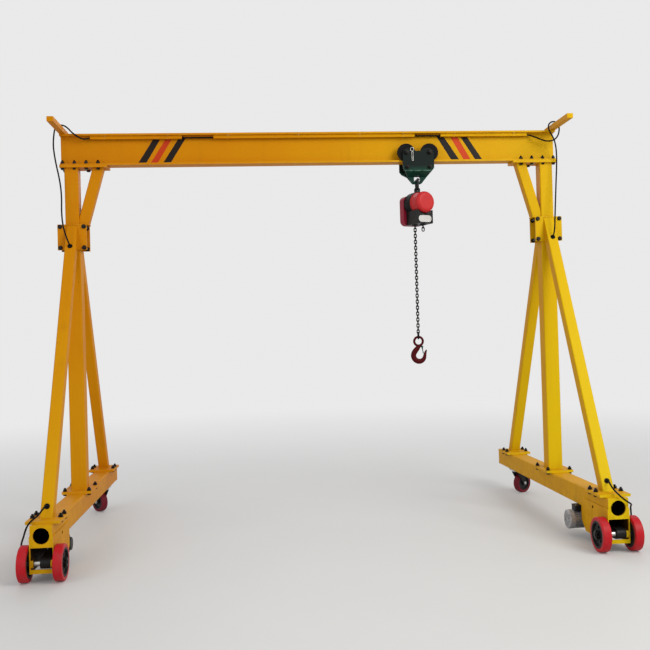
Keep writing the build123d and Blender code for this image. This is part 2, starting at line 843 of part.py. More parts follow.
# Trolley
def trolley_side(face):
    """One side plate: bent in at the neck so that both tips hang side by side."""
    top = rail_top + trolley_plate_rise
    bend = rail_top - trolley_bend_drop
    neck = rail_top - trolley_neck_drop
    shoulder = rail_top - trolley_shoulder_drop
    tip_near = trolley_tip_half_gap
    tip_far = trolley_tip_half_gap + trolley_plate
    lift = trolley_plate / 2
    with BuildSketch(Plane.YZ) as bent:
        with BuildLine():
            Polyline(
                (plate_inner, top),
                (plate_outer, top),
                (plate_outer, bend),
                (tip_far, neck),
                (tip_far, trolley_tip),
                (tip_near, trolley_tip),
                (tip_near, neck + lift),
                (plate_inner, bend + lift),
                close=True,
            )
        make_face()
    sheet = extrude(bent.sketch, trolley_half_width, both=True)
    valley = top - trolley_notch_depth
    valley_half = trolley_notch_half - trolley_notch_depth
    with BuildSketch(Plane.XZ) as outline:
        with BuildLine():
            Polyline(
                (-trolley_notch_half, top),
                (-trolley_half_width, top),
                (-trolley_half_width, shoulder),
                (-trolley_tip_half_width, trolley_tip),
                (trolley_tip_half_width, trolley_tip),
                (trolley_half_width, shoulder),
                (trolley_half_width, top),
                (trolley_notch_half, top),
                (valley_half, valley),
                (-valley_half, valley),
                close=True,
            )
        make_face()
        corners = outline.vertices().group_by(Axis.Y)[-1].sort_by(Axis.X)
        fillet([corners[0], corners[-1]], trolley_ear)
        fillet(outline.vertices().group_by(Axis.Y)[0], trolley_corner)
    plate = sheet & extrude(outline.sketch, 2 * plate_outer, both=True)
    sill = trolley_tip + window_sill
    half = window_width / 2
    plate = plate - block(-half, half, 0, 2 * plate_outer, sill, sill + window_height)
    if face < 0:
        plate = mirror(plate, Plane.XZ)
    axle_inner = face * (trolley_inner - trolley_tread_width)
    axle_outer = face * (plate_outer + trolley_axle_end)
    spacer_hole = spacer_diameter + 2 * bond_gap
    reach = face * 2 * plate_outer
    for end in (-1, 1):
        x = end * trolley_wheel_spacing / 2
        plate = plate + rod_y(trolley_axle, axle_inner, axle_outer, x, trolley_wheel_height)
        plate = plate - rod_y(spacer_hole, 0, reach, end * spacer_spacing / 2, spacer_height)
    return Pos(trolley_x, 0, 0) * plate


def trolley_spacers():
    """Tie bars with a collar inside each plate."""
    end = plate_outer + spacer_end
    collar_far = plate_inner - bond_gap
    collar_near = plate_inner - spacer_collar_length
    bars = []
    for side in (-1, 1):
        x = trolley_x + side * spacer_spacing / 2
        bar = rod_y(spacer_diameter, -end, end, x, spacer_height)
        for face in (-1, 1):
            bar = bar + rod_y(spacer_collar, face * collar_near, face * collar_far, x, spacer_height)
        bars.append(bar)
    return bars


def trolley_wheel(side, face):
    """Flanged wheel; face is -1 at the front, 1 at the rear."""
    near = face * trolley_inner
    far = face * (trolley_inner + trolley_flange_width)
    tread_end = face * (trolley_inner - trolley_tread_width)
    x = trolley_x + side * trolley_wheel_spacing / 2
    wheel = rod_y(trolley_flange, near, far, x, trolley_wheel_height)
    wheel = wheel + rod_y(trolley_tread, tread_end, near, x, trolley_wheel_height)
    bore = trolley_axle + 2 * running_clearance
    return wheel - rod_y(bore, 0, face * 2 * plate_inner, x, trolley_wheel_height)


# Hoist, with its own axis along local Y and turned about Z under the trolley
def ring_link(bar, inner_length, inner_width, sides=6):
    """An upright chain link in the XZ plane, about the origin."""
    reach = inner_width / 2 + bar / 2
    straight = (inner_length - inner_width) / 2
    section = Pos(reach, 0) * RegularPolygon(bar / 2, sides)
    link = None
    for turn in (0, 180):
        leg = extrude(Pos(0, 0, -straight) * section, 2 * straight)
        bend = revolve(Pos(0, 0, straight) * section, Axis((0, 0, straight), (0, -1, 0)), 180)
        half = Rot(0, turn, 0) * (leg + bend)
        link = half if link is None else link + half
    return link


def shackle():
    """D-shackle: a straight pin through both windows and a bow that carries the hoist's lug."""
    section = RegularPolygon(shackle_bar / 2, 8)
    arc_height = shackle_low + shackle_half_width
    bow = revolve(Pos(0, shackle_half_width) * section, Axis((0, 0, 0), (-1, 0, 0)), 180)
    for face in (-1, 1):
        bow = bow + extrude(Pos(0, face * shackle_half_width) * section, pivot_height - arc_height)
    bow = Pos(0, 0, arc_height) * bow
    end = shackle_half_width + shackle_bar
    bow = bow + rod_y(shackle_bar, -end, end, 0, pivot_height)
    near = shackle_half_width - shackle_bar / 2
    far = shackle_half_width + shackle_bar / 2
    for face in (-1, 1):
        bow = bow + rod_y(shackle_boss, face * near, face * far, 0, pivot_height)
    return Pos(trolley_x, 0, 0) * bow


def hoist_body():
    """Black casting: ribbed motor barrel and the lug that hangs in the shackle."""
    barrel = rod_y(hoist_body_size, -hoist_body_front, hoist_back, 0, hoist_height)
    fin_size = hoist_body_size + 2 * hoist_fin_rise
    for index in range(hoist_fins):
        start = -hoist_body_front + hoist_fin_step * (index + 1)
        barrel = barrel + rod_y(fin_size, start, start + hoist_fin, 0, hoist_height)
    lug_foot = hoist_height + hoist_body_size / 2 - lug_sink
    half = lug_width / 2
    lug = rod_y(2 * lug_radius, -half, half, 0, shackle_low)
    lug = lug + block(-lug_radius, lug_radius, -half, half, lug_foot, shackle_low)
    lug = lug - rod_y(shackle_bar + 2 * lug_clearance, -lug_width, lug_width, 0, shackle_low)
    return hoist_place * barrel + Pos(trolley_x, 0, 0) * lug


def hoist_back_cover():
    """Gear cover behind the barrel, rounded at its rear edge."""
    top = hoist_height + cover_rise
    outline = RectangleRounded(cover_width, top - box_bottom, cover_corner)
    across = Plane(origin=(0, hoist_back, (top + box_bottom) / 2), x_dir=(1, 0, 0), z_dir=(0, 1, 0))
    cover = extrude(across * outline, cover_thickness)
    return hoist_place * fillet(cover.edges().group_by(Axis.Y)[-1], cover_round)


def hoist_front_cap():
    """Round cap with a flat face and a well rounded edge."""
    radius = cap_diameter / 2
    face = cap_face / 2
    depth = cap_front - hoist_body_front
    edge = depth - cap_rise
    chord_middle = Vector((radius + face) / 2, (depth + edge) / 2)
    swell = chord_middle + Vector(cap_rise, radius - face).normalized() * cap_swell
    with BuildSketch(Plane.XY) as profile:
        with BuildLine():
            Line((0, 0), (radius, 0))
            Line((radius, 0), (radius, edge))
            ThreePointArc((radius, edge), swell, (face, depth))
            Line((face, depth), (0, depth))
            Line((0, depth), (0, 0))
        make_face()
    dome = revolve(profile.sketch, Axis.Y)
    return hoist_place * Pos(0, -hoist_body_front, hoist_height) * Rot(0, 0, 180) * dome


def hoist_control_box():
    """Box under the barrel, with a guide for each end of the chain."""
    half = box_width / 2
    box = block(-half, half, -box_front, hoist_back, box_bottom, box_bottom + box_height)
    box = fillet(box.edges().filter_by(Axis.Y).group_by(Axis.Z)[0], tube_corner)
    reach = 2 * cover_back
    room = hoist_body_size + 2 * hoist_fin_rise
    box = hoist_place * (box - rod_y(room, -reach, reach, 0, hoist_height))
    guide_top = box_bottom + chain_guide_depth
    pin_half = chain_guide / 2 + chain_pin_end
    for x, y in (chain_place, tail_place):
        box = box - rod_z(chain_guide, box_bottom - chain_guide, guide_top, x, y)
        box = box + rod_y(chain_pin, y - pin_half, y + pin_half, x, guide_pin_height)
    return box


def chain_run(count, place):
    """Links hung one in another from a guide pin, the top one across the pin."""
    link = ring_link(chain_bar, chain_inner_length, chain_inner_width)
    x, y = place
    links = []
    for index in range(count):
        height = top_link_height - index * chain_step
        links.append(Pos(x, y, height) * Rot(0, 0, 90 * (index % 2)) * link)
    return links


def load_chain():
    return chain_run(chain_links, chain_place) + chain_run(tail_links, tail_place)


def coupling_link():
    x, y = chain_place
    link = ring_link(coupling_bar, coupling_inner_length, coupling_inner_width, 8)
    return Pos(x, y, coupling_height) * Rot(0, 0, 90) * link


def on_circle(radius, angle):
    """A point on a circle about the origin, its angle counted from +X."""
    return radius * cos(radians(angle)), radius * sin(radians(angle))


def lifting_hook():
    """Eye hook: a round eye, and a flat forged bowl that thins towards its point on the right."""
    outer = bowl_radius + hook_back
    side = bowl_radius + hook_point_bar
    eye_reach = eye_hole / 2 + eye_bar / 2
    neck_left = -bowl_offset - hook_neck / 2
    neck_right = neck_left + hook_neck
    neck_top = bowl_drop - eye_reach
    neck_foot = neck_top - eye_bar / 2
    shoulder = on_circle(outer, hook_shoulder_angle)
    belly = on_circle((outer + side) / 2, -45)
    slip = on_circle(bowl_radius, hook_slip_angle)
    point_outer = (point_reach, point_rise)
    point_inner = (point_reach - point_width, point_rise)
    point_waist = (bowl_radius + point_width, point_rise / 2)
    with BuildSketch(Plane.XZ) as outline:
        with BuildLine():
            Polyline((neck_right, neck_top), (neck_left, neck_top), (neck_left, neck_foot), shoulder)
            ThreePointArc(shoulder, on_circle(outer, 200), (0, -outer))
            ThreePointArc((0, -outer), belly, (side, 0))
            Polyline((side, 0), point_outer, point_inner)
            ThreePointArc(point_inner, point_waist, (bowl_radius, 0))
            ThreePointArc((bowl_radius, 0), (0, -bowl_radius), slip)
            Polyline(slip, (neck_right, neck_foot), (neck_right, neck_top))
        make_face()
        fillet(outline.vertices(), hook_round)
    hook = extrude(outline.sketch, hook_thickness / 2, both=True)
    hook = fillet(hook.faces().filter_by(Axis.Y).edges(), hook_round)
    hook = Pos(bowl_offset, 0, -bowl_drop) * hook
    hook = hook + Rot(90, 0, 0) * Torus(eye_reach, eye_bar / 2)
    pivot_x, pivot_z = latch_pivot
    half = latch_lug_thickness / 2
    hook = hook + rod_y(latch_lug, -half, half, pivot_x, pivot_z)
    lug_low = pivot_z - latch_lug / 4
    hook = hook + block(0, pivot_x, -half, half, lug_low, pivot_z + latch_lug / 2)
    pin_hole = latch_pin + 2 * running_clearance
    hook = hook - rod_y(pin_hole, -hook_thickness, hook_thickness, pivot_x, pivot_z)
    return Pos(*chain_place, hook_eye_height) * hook


def hook_latch():
    """Sheet latch: two ears on a pin through the hook's lug, and a tongue down to the hook's point."""
    pivot_x, pivot_z = latch_pivot
    reach_x = bowl_offset + latch_end[0] - pivot_x
    reach_z = pivot_z + bowl_drop - latch_end[1]
    length = (reach_x ** 2 + reach_z ** 2) ** 0.5
    lean = degrees(atan2(reach_x, reach_z))
    ear = latch_lug_thickness / 2 + latch_ear_gap
    half = latch_width / 2
    sheet = latch_thickness / 2
    tongue_top = -latch_lug / 2 - latch_ear_gap
    latch = rod_y(latch_pin, -half, half, 0, 0)
    latch = latch + block(-sheet, sheet, -half, half, -length, tongue_top)
    for face in (-1, 1):
        latch = latch + rod_y(latch_lug, face * ear, face * half, 0, 0)
        latch = latch + block(-latch_thickness, latch_thickness, face * ear, face * half, 2 * tongue_top, 0)
    x, y = chain_place
    return Pos(x + pivot_x, y, hook_eye_height + pivot_z) * Rot(0, -lean, 0) * latch


write("girder", girder())
write("head_plates", *both(head_plate))
write("upper_posts", *both(upper_post))
write("knee_braces", *both(knee_brace))
write("splice_plates", *splice_plates(-1), *splice_plates(1))
write("columns", *both(column))
write("front_struts", strut(-1, -1), strut(1, -1))
write("rear_struts", strut(-1, 1), strut(1, 1))
write("foot_plates", *foot_plates(foot_middle))
write("beam_pads", *foot_plates(beam_top))
write("ground_beams", *both(ground_beam))
write("beam_end_plates", *both(front_plate))
write("drive_housings", *both(drive_housing))
write("gear_units", *both(gear_unit))
write("drive_motors", *both(drive_motor))
write("terminal_boxes", *both(terminal_box))
write("castor_plates", *both(castor_plate))
write("cable_arms", *both(cable_arm))
write("cable_conduit", *conduit())
write("conduit_cable", conduit_cable())
write("cable_grommets", *grommets())
for side, word in ((-1, "left"), (1, "right")):
    write(word + "_power_cable", cable(word + "_power_cable", power_cable(side)))
    write(word + "_motor_lead", cable(word + "_motor_lead", motor_lead(side)))
    write(word + "_drive_axle", drive_axle(side))
    write(word + "_drive_hubs", *drive_hubs(side))
    write(word + "_drive_tyres", *drive_tyres(side))
    write(word + "_castor_fork", castor_fork(side))
    write(word + "_castor_hub", castor_hub(side))
    write(word + "_castor_tyre", castor_tyre(side))
write("trolley_front_plate", trolley_side(-1))
write("trolley_rear_plate", trolley_side(1))
write("trolley_spacers", *trolley_spacers())
for face, word in ((-1, "front"), (1, "rear")):
    write("trolley_wheel_" + word + "_left", trolley_wheel(-1, face))
    write("trolley_wheel_" + word + "_right", trolley_wheel(1, face))
write("hoist_shackle", shackle())
write("hoist_body", hoist_body())
write("hoist_back_cover", hoist_back_cover())
write("hoist_front_cap", hoist_front_cap())
write("hoist_control_box", hoist_control_box())
write("load_chain", *load_chain())
write("coupling_link", coupling_link())
write("lifting_hook", lifting_hook())
write("hook_latch", hook_latch())
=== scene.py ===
# %% [markdown]
# # Dressing a workshop gantry crane
# The crane's solids come ready made, in metres and in their final places. This lesson gives them
# paint, rubber and bare metal, hangs the cables, and adds what is too small for the solids: bolts,
# hazard stripes, weld beads, clips, screws and round chain links.

# %% Load the frame
import json
import math

import bmesh
import bpy
from mathutils import Euler, Matrix, Vector


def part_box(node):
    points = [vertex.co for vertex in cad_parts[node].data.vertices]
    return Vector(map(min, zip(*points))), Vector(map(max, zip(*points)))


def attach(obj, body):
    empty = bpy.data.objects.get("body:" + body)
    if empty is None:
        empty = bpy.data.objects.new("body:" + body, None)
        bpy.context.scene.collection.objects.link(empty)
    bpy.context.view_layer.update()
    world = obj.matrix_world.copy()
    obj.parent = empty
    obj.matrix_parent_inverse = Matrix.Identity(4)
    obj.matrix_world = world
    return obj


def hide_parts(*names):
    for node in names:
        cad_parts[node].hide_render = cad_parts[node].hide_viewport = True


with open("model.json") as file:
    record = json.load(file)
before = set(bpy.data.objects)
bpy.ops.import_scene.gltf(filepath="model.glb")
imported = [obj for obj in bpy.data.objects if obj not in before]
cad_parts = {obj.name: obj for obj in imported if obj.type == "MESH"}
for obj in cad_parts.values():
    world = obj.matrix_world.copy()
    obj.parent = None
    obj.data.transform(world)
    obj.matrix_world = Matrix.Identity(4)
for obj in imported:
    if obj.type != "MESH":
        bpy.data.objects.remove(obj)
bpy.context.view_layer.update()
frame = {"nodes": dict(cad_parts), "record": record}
nodes = frame["nodes"]

# %% [markdown]
# ## Camera
# The photograph was taken from the front, a little left of the middle, at chest height. The place,
# the three turns and the focal length below come from measuring the picture. Building the camera's
# matrix from its three axes keeps the slight roll, which a track-to constraint would lose.

# %% Camera at the photograph's viewpoint
camera_place = Vector((-0.4420, -5.6388, 1.3006))
camera_yaw = 0.0863
camera_pitch = 0.0119
camera_roll = -0.0288
camera_lens = 45.72


def new_object(name, data):
    """An object in the scene, at the origin."""
    made = bpy.data.objects.new(name, data)
    bpy.context.scene.collection.objects.link(made)
    return made


ahead = Vector((
    math.sin(camera_yaw) * math.cos(camera_pitch),
    math.cos(camera_yaw) * math.cos(camera_pitch),
    math.sin(camera_pitch),
))
level = Vector((math.cos(camera_yaw), -math.sin(camera_yaw), 0))
upright = level.cross(ahead)
right = level * math.cos(camera_roll) + upright * math.sin(camera_roll)
up = upright * math.cos(camera_roll) - level * math.sin(camera_roll)
camera_turn = Matrix((right, up, -ahead)).transposed().to_4x4()
camera_data = bpy.data.cameras.new("camera")
camera_data.lens = camera_lens
camera_data.sensor_width = 36
camera = new_object("camera", camera_data)
camera.matrix_world = Matrix.Translation(camera_place) @ camera_turn
bpy.context.scene.camera = camera
print("camera at", camera_place, "lens", camera_lens)

# %% [markdown]
# ## Node helpers
# Every finish here is procedural and reads Object coordinates, so it sits on the metal and needs no
# unwrapping. Shader trees soon get long when each node is wired by hand. One helper adds a node and
# sets or links its sockets by name, one does sums, and the others make the noise, the masks and the
# mixes that paint is built from.

# %% Add a node, make noise and masks
def fill(tree, socket, value):
    """Links a socket to another one, or sets it to a plain value."""
    if isinstance(value, bpy.types.NodeSocket):
        tree.links.new(value, socket)
    else:
        socket.default_value = value


def add_node(tree, kind, **sockets):
    """A node with some of its input sockets set or linked, by name."""
    node = tree.nodes.new(kind)
    for name, value in sockets.items():
        fill(tree, node.inputs[name.replace("_", " ")], value)
    return node


def compute(tree, operation, *values, kind="ShaderNodeMath"):
    """The number that a Math or Vector Math node makes of its inputs."""
    node = tree.nodes.new(kind)
    node.operation = operation
    for socket, value in zip(node.inputs, values):
        fill(tree, socket, value)
    return node.outputs["Value"]


def measure(tree, operation, first, second):
    """The dot product of two vectors or the distance between two places."""
    return compute(tree, operation, first, second, kind="ShaderNodeVectorMath")


def object_place(tree):
    return tree.nodes.new("ShaderNodeTexCoord").outputs["Object"]


def object_noise(tree, size, detail=3.0, stretch=(1, 1, 1)):
    """Noise whose patches are about size metres across."""
    mapped = add_node(tree, "ShaderNodeMapping", Vector=object_place(tree), Scale=stretch)
    spot = mapped.outputs["Vector"]
    noise = add_node(tree, "ShaderNodeTexNoise", Vector=spot, Scale=1 / size, Detail=detail)
    return noise.outputs["Fac"]


def mask(tree, value, low, high):
    """0 at low, 1 at high, smooth between; low may be the larger number."""
    node = add_node(tree, "ShaderNodeMapRange", Value=value, From_Min=low, From_Max=high)
    node.interpolation_type = "SMOOTHSTEP"
    return node.outputs["Result"]


def multiply(tree, product, *factors):
    for factor in factors:
        product = compute(tree, "MULTIPLY", product, factor)
    return product


def mix_colour(tree, share, first, second):
    """A mix of two colours, each a socket or three numbers."""
    node = tree.nodes.new("ShaderNodeMix")
    node.data_type = "RGBA"
    tree.links.new(share, node.inputs["Factor"])
    for socket, value in zip((node.inputs[6], node.inputs[7]), (first, second)):
        fill(tree, socket, value if isinstance(value, bpy.types.NodeSocket) else (*value, 1))
    return node.outputs[2]


print("node helpers ready")

# %% [markdown]
# ## Edges, heights and the shader
# Paint wears first along edges, where a painted highlight is laid as well, and dirt gathers low down,
# so two more masks are needed. The Bevel node rounds the shading normal near an edge, and the dot
# product with the flat normal shows where.
# Its radius stays well under the tubes' wall, or it would feel the inside of the wall. The last two
# helpers start a material and end it with a roughness and a bump from one fine grain.

# %% Edge mask, height mask, start and end of a finish
wear_and_highlight_width = 0.0016


def edge_mask(tree):
    """1 along edges: where a rounded normal leaves the flat one."""
    flat = tree.nodes.new("ShaderNodeNewGeometry").outputs["Normal"]
    bevel = add_node(tree, "ShaderNodeBevel", Radius=wear_and_highlight_width)
    bevel.samples = 4
    return mask(tree, measure(tree, "DOT_PRODUCT", flat, bevel.outputs["Normal"]), 0.97, 0.80)


def place_along(tree, axis):
    """Distance along X, Y or Z, in metres; Z is the height above the floor."""
    return add_node(tree, "ShaderNodeSeparateXYZ", Vector=object_place(tree)).outputs[axis]


def new_finish(name, metallic=0.0, specular=0.5):
    """An empty material: itself, its tree and its Principled shader."""
    made = bpy.data.materials.new(name)
    made.use_nodes = True
    shader = made.node_tree.nodes["Principled BSDF"]
    shader.inputs["Metallic"].default_value = metallic
    shader.inputs["Specular IOR Level"].default_value = specular
    return made, made.node_tree, shader


def connect_finish(tree, shader, colour, rough, grain, bump):
    """Colour, a roughness that varies with a fine grain, and a light bump from the same grain."""
    tree.links.new(colour, shader.inputs["Base Color"])
    fine = object_noise(tree, grain)
    varied = add_node(tree, "ShaderNodeMapRange", Value=fine, To_Min=rough[0], To_Max=rough[1])
    tree.links.new(varied.outputs["Result"], shader.inputs["Roughness"])
    relief = add_node(tree, "ShaderNodeBump", Height=fine, Strength=bump, Distance=0.001)
    tree.links.new(relief.outputs["Normal"], shader.inputs["Normal"])


print("masks for edges and heights ready")

# %% [markdown]
# ## Enamel paint
# Shop enamel is never one flat colour: thin coats let the undercoat through in broad patches, rain
# and hands leave streaks that run down, edges are pale, partly rubbed and partly a painted highlight,
# chips show dark primer, and the lowest steel is splashed with dirt. On the faces that take most
# light, in front and low on the right, painted light also turns the orange to lemon. A painter would
# lay these one on another, and so does the tree: each is one mask over the colour so far, from the
# broadest to the finest.

# %% Paint recipe
to_lit_end = (0.50, -0.40, -0.40)
to_front = (0, -1, 0)
primer_tone = (0.05, 0.035, 0.025)


def paint(name, colour, patch, dirt, edge, specular=0.14, splash=0.0, painted_light_tone=None, bump=0.05):
    """Layers of enamel; the optional lit colour is painted light, which front faces towards the low
    right-hand end turn to.
    """
    made, tree, shader = new_finish(name, specular=specular)
    broad = mask(tree, object_noise(tree, 0.55), 0.36, 0.66)
    coat = mix_colour(tree, broad, colour, patch)
    # painted light: front faces towards the low right-hand end turn to the lit colour, where most light falls
    if painted_light_tone:
        lit_end = mask(tree, measure(tree, "DOT_PRODUCT", object_place(tree), to_lit_end), -1.9, 1.0)
        normal = tree.nodes.new("ShaderNodeTexCoord").outputs["Normal"]
        front = mask(tree, measure(tree, "DOT_PRODUCT", normal, to_front), -0.8, 1.0)
        coat = mix_colour(tree, multiply(tree, lit_end, front), coat, painted_light_tone)
    streak = mask(tree, object_noise(tree, 0.09, stretch=(1, 1, 0.10)), 0.54, 0.82)
    coat = mix_colour(tree, multiply(tree, streak, 0.20), coat, dirt)
    if splash:
        low = mask(tree, place_along(tree, "Z"), 0.45, 0.08)
        spots = mask(tree, object_noise(tree, 0.045, detail=6), 0.40, 0.62)
        coat = mix_colour(tree, multiply(tree, low, spots, splash), coat, dirt)
    # pale edges: partly rubbed paint, partly a painted highlight along every edge
    pale_edge_patches = mask(tree, object_noise(tree, 0.05), 0.40, 0.60)
    wear_and_highlight = multiply(tree, edge_mask(tree), pale_edge_patches, 0.8)
    coat = mix_colour(tree, wear_and_highlight, coat, edge)
    chips = mask(tree, object_noise(tree, 0.014, detail=5), 0.71, 0.73)
    where = mask(tree, object_noise(tree, 0.35), 0.52, 0.70)
    coat = mix_colour(tree, multiply(tree, chips, where), coat, primer_tone)
    connect_finish(tree, shader, coat, (0.38, 0.56), 0.006, bump)
    return made


print("paint recipe ready, primer", primer_tone)

# %% [markdown]
# ## Colours of the enamel
# The frame is orange-yellow, the hoist red, and the stripes black and red. Each colour takes three
# tones, for the coat, the broad patches and the dirt, and one more for its pale edges, which are
# partly rubbed paint and partly a painted highlight. The yellow also takes a lemon, painted light on
# its lit front faces. One material tinted per object would be shorter, but separate ones travel to
# other programs as they are, and each keeps its own shine. The arms at the girder's ends are seen at
# a low angle, so theirs is the least.

# %% Paints
# the lemon is painted light, for the front faces that the light falls on
orange_tone, patch_tone, lit_lemon_tone = (0.605, 0.225, 0.002), (0.585, 0.195, 0.002), (0.680, 0.470, 0.005)
# the rubbed tone is for pale edges: partly worn paint, partly a painted highlight
splash_tone, wear_and_highlight_tone = (0.30, 0.12, 0.006), (0.80, 0.56, 0.12)
yellow = paint("yellow_enamel", orange_tone, patch_tone, splash_tone,
               edge=wear_and_highlight_tone, splash=0.28, painted_light_tone=lit_lemon_tone, specular=0.05)
arm_yellow = paint("arm_enamel", orange_tone, patch_tone, splash_tone,
                   edge=wear_and_highlight_tone, painted_light_tone=lit_lemon_tone, specular=0.02, bump=0.0)
red = paint("red_enamel", (0.56, 0.020, 0.020), (0.46, 0.012, 0.016), (0.22, 0.010, 0.012),
            edge=(0.70, 0.12, 0.10), specular=0.3)
cover_red = paint("dark_red_enamel", (0.30, 0.006, 0.030), (0.23, 0.005, 0.022), (0.10, 0.006, 0.012),
                  edge=(0.42, 0.06, 0.07), specular=0.3)
hook_red = paint("hook_enamel", (0.080, 0.002, 0.004), (0.050, 0.002, 0.003), (0.020, 0.006, 0.005),
                 edge=(0.16, 0.06, 0.05), specular=0.10)
black = paint("black_enamel", (0.010, 0.010, 0.011), (0.016, 0.016, 0.016), (0.030, 0.027, 0.024),
              edge=(0.10, 0.10, 0.10), specular=0.18)
stripe_black = paint("stripe_black", (0.010, 0.007, 0.006), (0.018, 0.011, 0.007), (0.05, 0.026, 0.008),
                     edge=(0.05, 0.04, 0.03))
stripe_red = paint("stripe_red", (0.56, 0.055, 0.008), (0.48, 0.036, 0.007), (0.32, 0.04, 0.008),
                   edge=(0.60, 0.20, 0.06))
print("paints", [made.name for made in bpy.data.materials])

# %% [markdown]
# ## Green trolley enamel
# The trolley is so dark a green that its upper part looks black beside the yellow girder. Below the
# bend across each side plate a clearer green is painted light, lifting the downward faces out of their
# shade, and the bend itself carries a painted highlight, a pale line where the bent edge would catch
# the light. Both are masks of height in the material, and noise breaks up the line so that it is not
# a drawn stripe.

# %% Green finish with painted light and a painted highlight on the bend
bend_height = 2.407
bend_highlight_half = 0.005
lit_green_from, lit_green_below = 2.450, 2.405
painted_light_green, bend_highlight_tone = (0.006, 0.042, 0.027), (0.075, 0.14, 0.105)
green = paint("green_enamel", (0.0035, 0.010, 0.0075), (0.003, 0.007, 0.006), (0.010, 0.012, 0.010),
              edge=(0.05, 0.08, 0.065), specular=0.12)
tree = green.node_tree
shader = tree.nodes["Principled BSDF"]
coat = shader.inputs["Base Color"].links[0].from_socket
level = place_along(tree, "Z")
# painted light: below the bend the green is lighter, for faces that lie in shade
coat = mix_colour(tree, mask(tree, level, lit_green_from, lit_green_below), coat, painted_light_green)
# painted highlight: a pale line along the bend, broken up by noise
above = mask(tree, level, bend_height - bend_highlight_half, bend_height - bend_highlight_half / 2)
below = mask(tree, level, bend_height + bend_highlight_half, bend_height + bend_highlight_half / 2)
patchy = mask(tree, object_noise(tree, 0.03), 0.30, 0.52)
band = multiply(tree, above, below, patchy)
tree.links.new(mix_colour(tree, band, coat, bend_highlight_tone), shader.inputs["Base Color"])
print("green enamel, rubbed at", bend_height)

# %% [markdown]
# ## Painted shade inside
# The insides of the beams and of the drive housings are painted near-black: painted shade, for the
# shade inside the hollow steel. Both need only the yellow finish again with two more masks. The first
# is 1 where a point is closer to the middle of its leg than the outer walls are, and its heights and
# lengths keep it off the painted end faces. The second paints shade into the bore of the small round
# hole through both side plates.

# %% Yellow finishes with painted shade inside
half_span = 1.622
plug_hole_place = (0, -0.820, 0.222)
plug_hole_radius = 0.0092


def painted_shade_inside(name, half_width, front, rear, low, high, shade_tone):
    made = yellow.copy()
    made.name = name
    tree = made.node_tree
    shader = tree.nodes["Principled BSDF"]
    aside = compute(tree, "ABSOLUTE", place_along(tree, "X"))
    off_leg = compute(tree, "ABSOLUTE", compute(tree, "SUBTRACT", aside, half_span))
    # painted shade: near-black where a point lies inside the hollow walls
    shaded_inside = mask(tree, off_leg, half_width, half_width - 0.0008)
    for axis, first, last in (("Y", front, rear), ("Z", low, high)):
        along = place_along(tree, axis)
        start, stop = mask(tree, along, first, first + 0.001), mask(tree, along, last, last - 0.001)
        shaded_inside = multiply(tree, shaded_inside, start, stop)
    coat = mix_colour(tree, shaded_inside, shader.inputs["Base Color"].links[0].from_socket, shade_tone)
    # painted shade in the bore of the small round hole
    sideways = add_node(tree, "ShaderNodeMapping", Vector=object_place(tree), Scale=(0, 1, 1))
    from_hole = measure(tree, "DISTANCE", sideways.outputs["Vector"], plug_hole_place)
    bore_shade = mask(tree, from_hole, plug_hole_radius + 0.0008, plug_hole_radius)
    tree.links.new(mix_colour(tree, bore_shade, coat, shade_tone), shader.inputs["Base Color"])
    return made


# painted shade inside the ground beams and the drive housings
beam_yellow_shaded_inside = painted_shade_inside("beam_enamel", 0.0575, -1.030, 1.090, 0.1925, 0.3075, (0.010, 0.007, 0.005))
housing_yellow_shaded_inside = painted_shade_inside("housing_enamel", 0.0612, -1.021, -0.600, 0.030, 0.251, (0.035, 0.017, 0.004))
print("insides", beam_yellow_shaded_inside.name, housing_yellow_shaded_inside.name)

# %% [markdown]
# ## Metals, rubber and plastic
# Bare metals need full metallic shading and a brushed or cast grain. Rubber and polyurethane are
# dull, with fine mould marks, and pick up grey dust in patches. Two recipes cover them all, with the
# colour, the stain and the grain as their inputs.

# %% Metal, rubber and plastic finishes
def metal(name, colour, stain, rough, grain=0.004, bump=0.12):
    made, tree, shader = new_finish(name, metallic=1.0)
    spots = mask(tree, object_noise(tree, 0.03, detail=5), 0.48, 0.72)
    tone = mix_colour(tree, spots, colour, stain)
    connect_finish(tree, shader, tone, rough, grain, bump)
    return made


def dull(name, colour, dust, rough, grain=0.003, bump=0.10, share=0.4, specular=0.25):
    made, tree, shader = new_finish(name, specular=specular)
    film = mask(tree, object_noise(tree, 0.05, detail=4), 0.46, 0.74)
    tone = mix_colour(tree, multiply(tree, film, share), colour, dust)
    connect_finish(tree, shader, tone, rough, grain, bump)
    return made


alloy = metal("cast_alloy", (0.42, 0.42, 0.43), (0.29, 0.29, 0.29), (0.50, 0.68), grain=0.002, bump=0.3)
zinc = metal("zinc_plate", (0.52, 0.52, 0.50), (0.30, 0.29, 0.26), (0.30, 0.48))
steel = metal("turned_steel", (0.55, 0.55, 0.54), (0.33, 0.31, 0.28), (0.22, 0.40))
dark_steel = metal("oiled_steel", (0.020, 0.019, 0.018), (0.012, 0.009, 0.007), (0.30, 0.52))
black_bolt = metal("black_oxide", (0.022, 0.021, 0.021), (0.030, 0.018, 0.012), (0.36, 0.55))
hub_black = dull("cast_hub", (0.010, 0.010, 0.011), (0.05, 0.046, 0.042), (0.45, 0.65), bump=0.35)
tyre_red = dull("red_polyurethane", (0.46, 0.007, 0.014), (0.30, 0.05, 0.05), (0.36, 0.54), specular=0.18)
castor_red = dull("dark_polyurethane", (0.15, 0.008, 0.018), (0.10, 0.03, 0.035), (0.40, 0.58), specular=0.14)
rubber = dull("cable_rubber", (0.004, 0.004, 0.004), (0.018, 0.016, 0.016), (0.45, 0.62), specular=0.08)
latch_green = dull("passivated_zinc", (0.012, 0.060, 0.045), (0.03, 0.06, 0.05), (0.35, 0.50), specular=0.25)
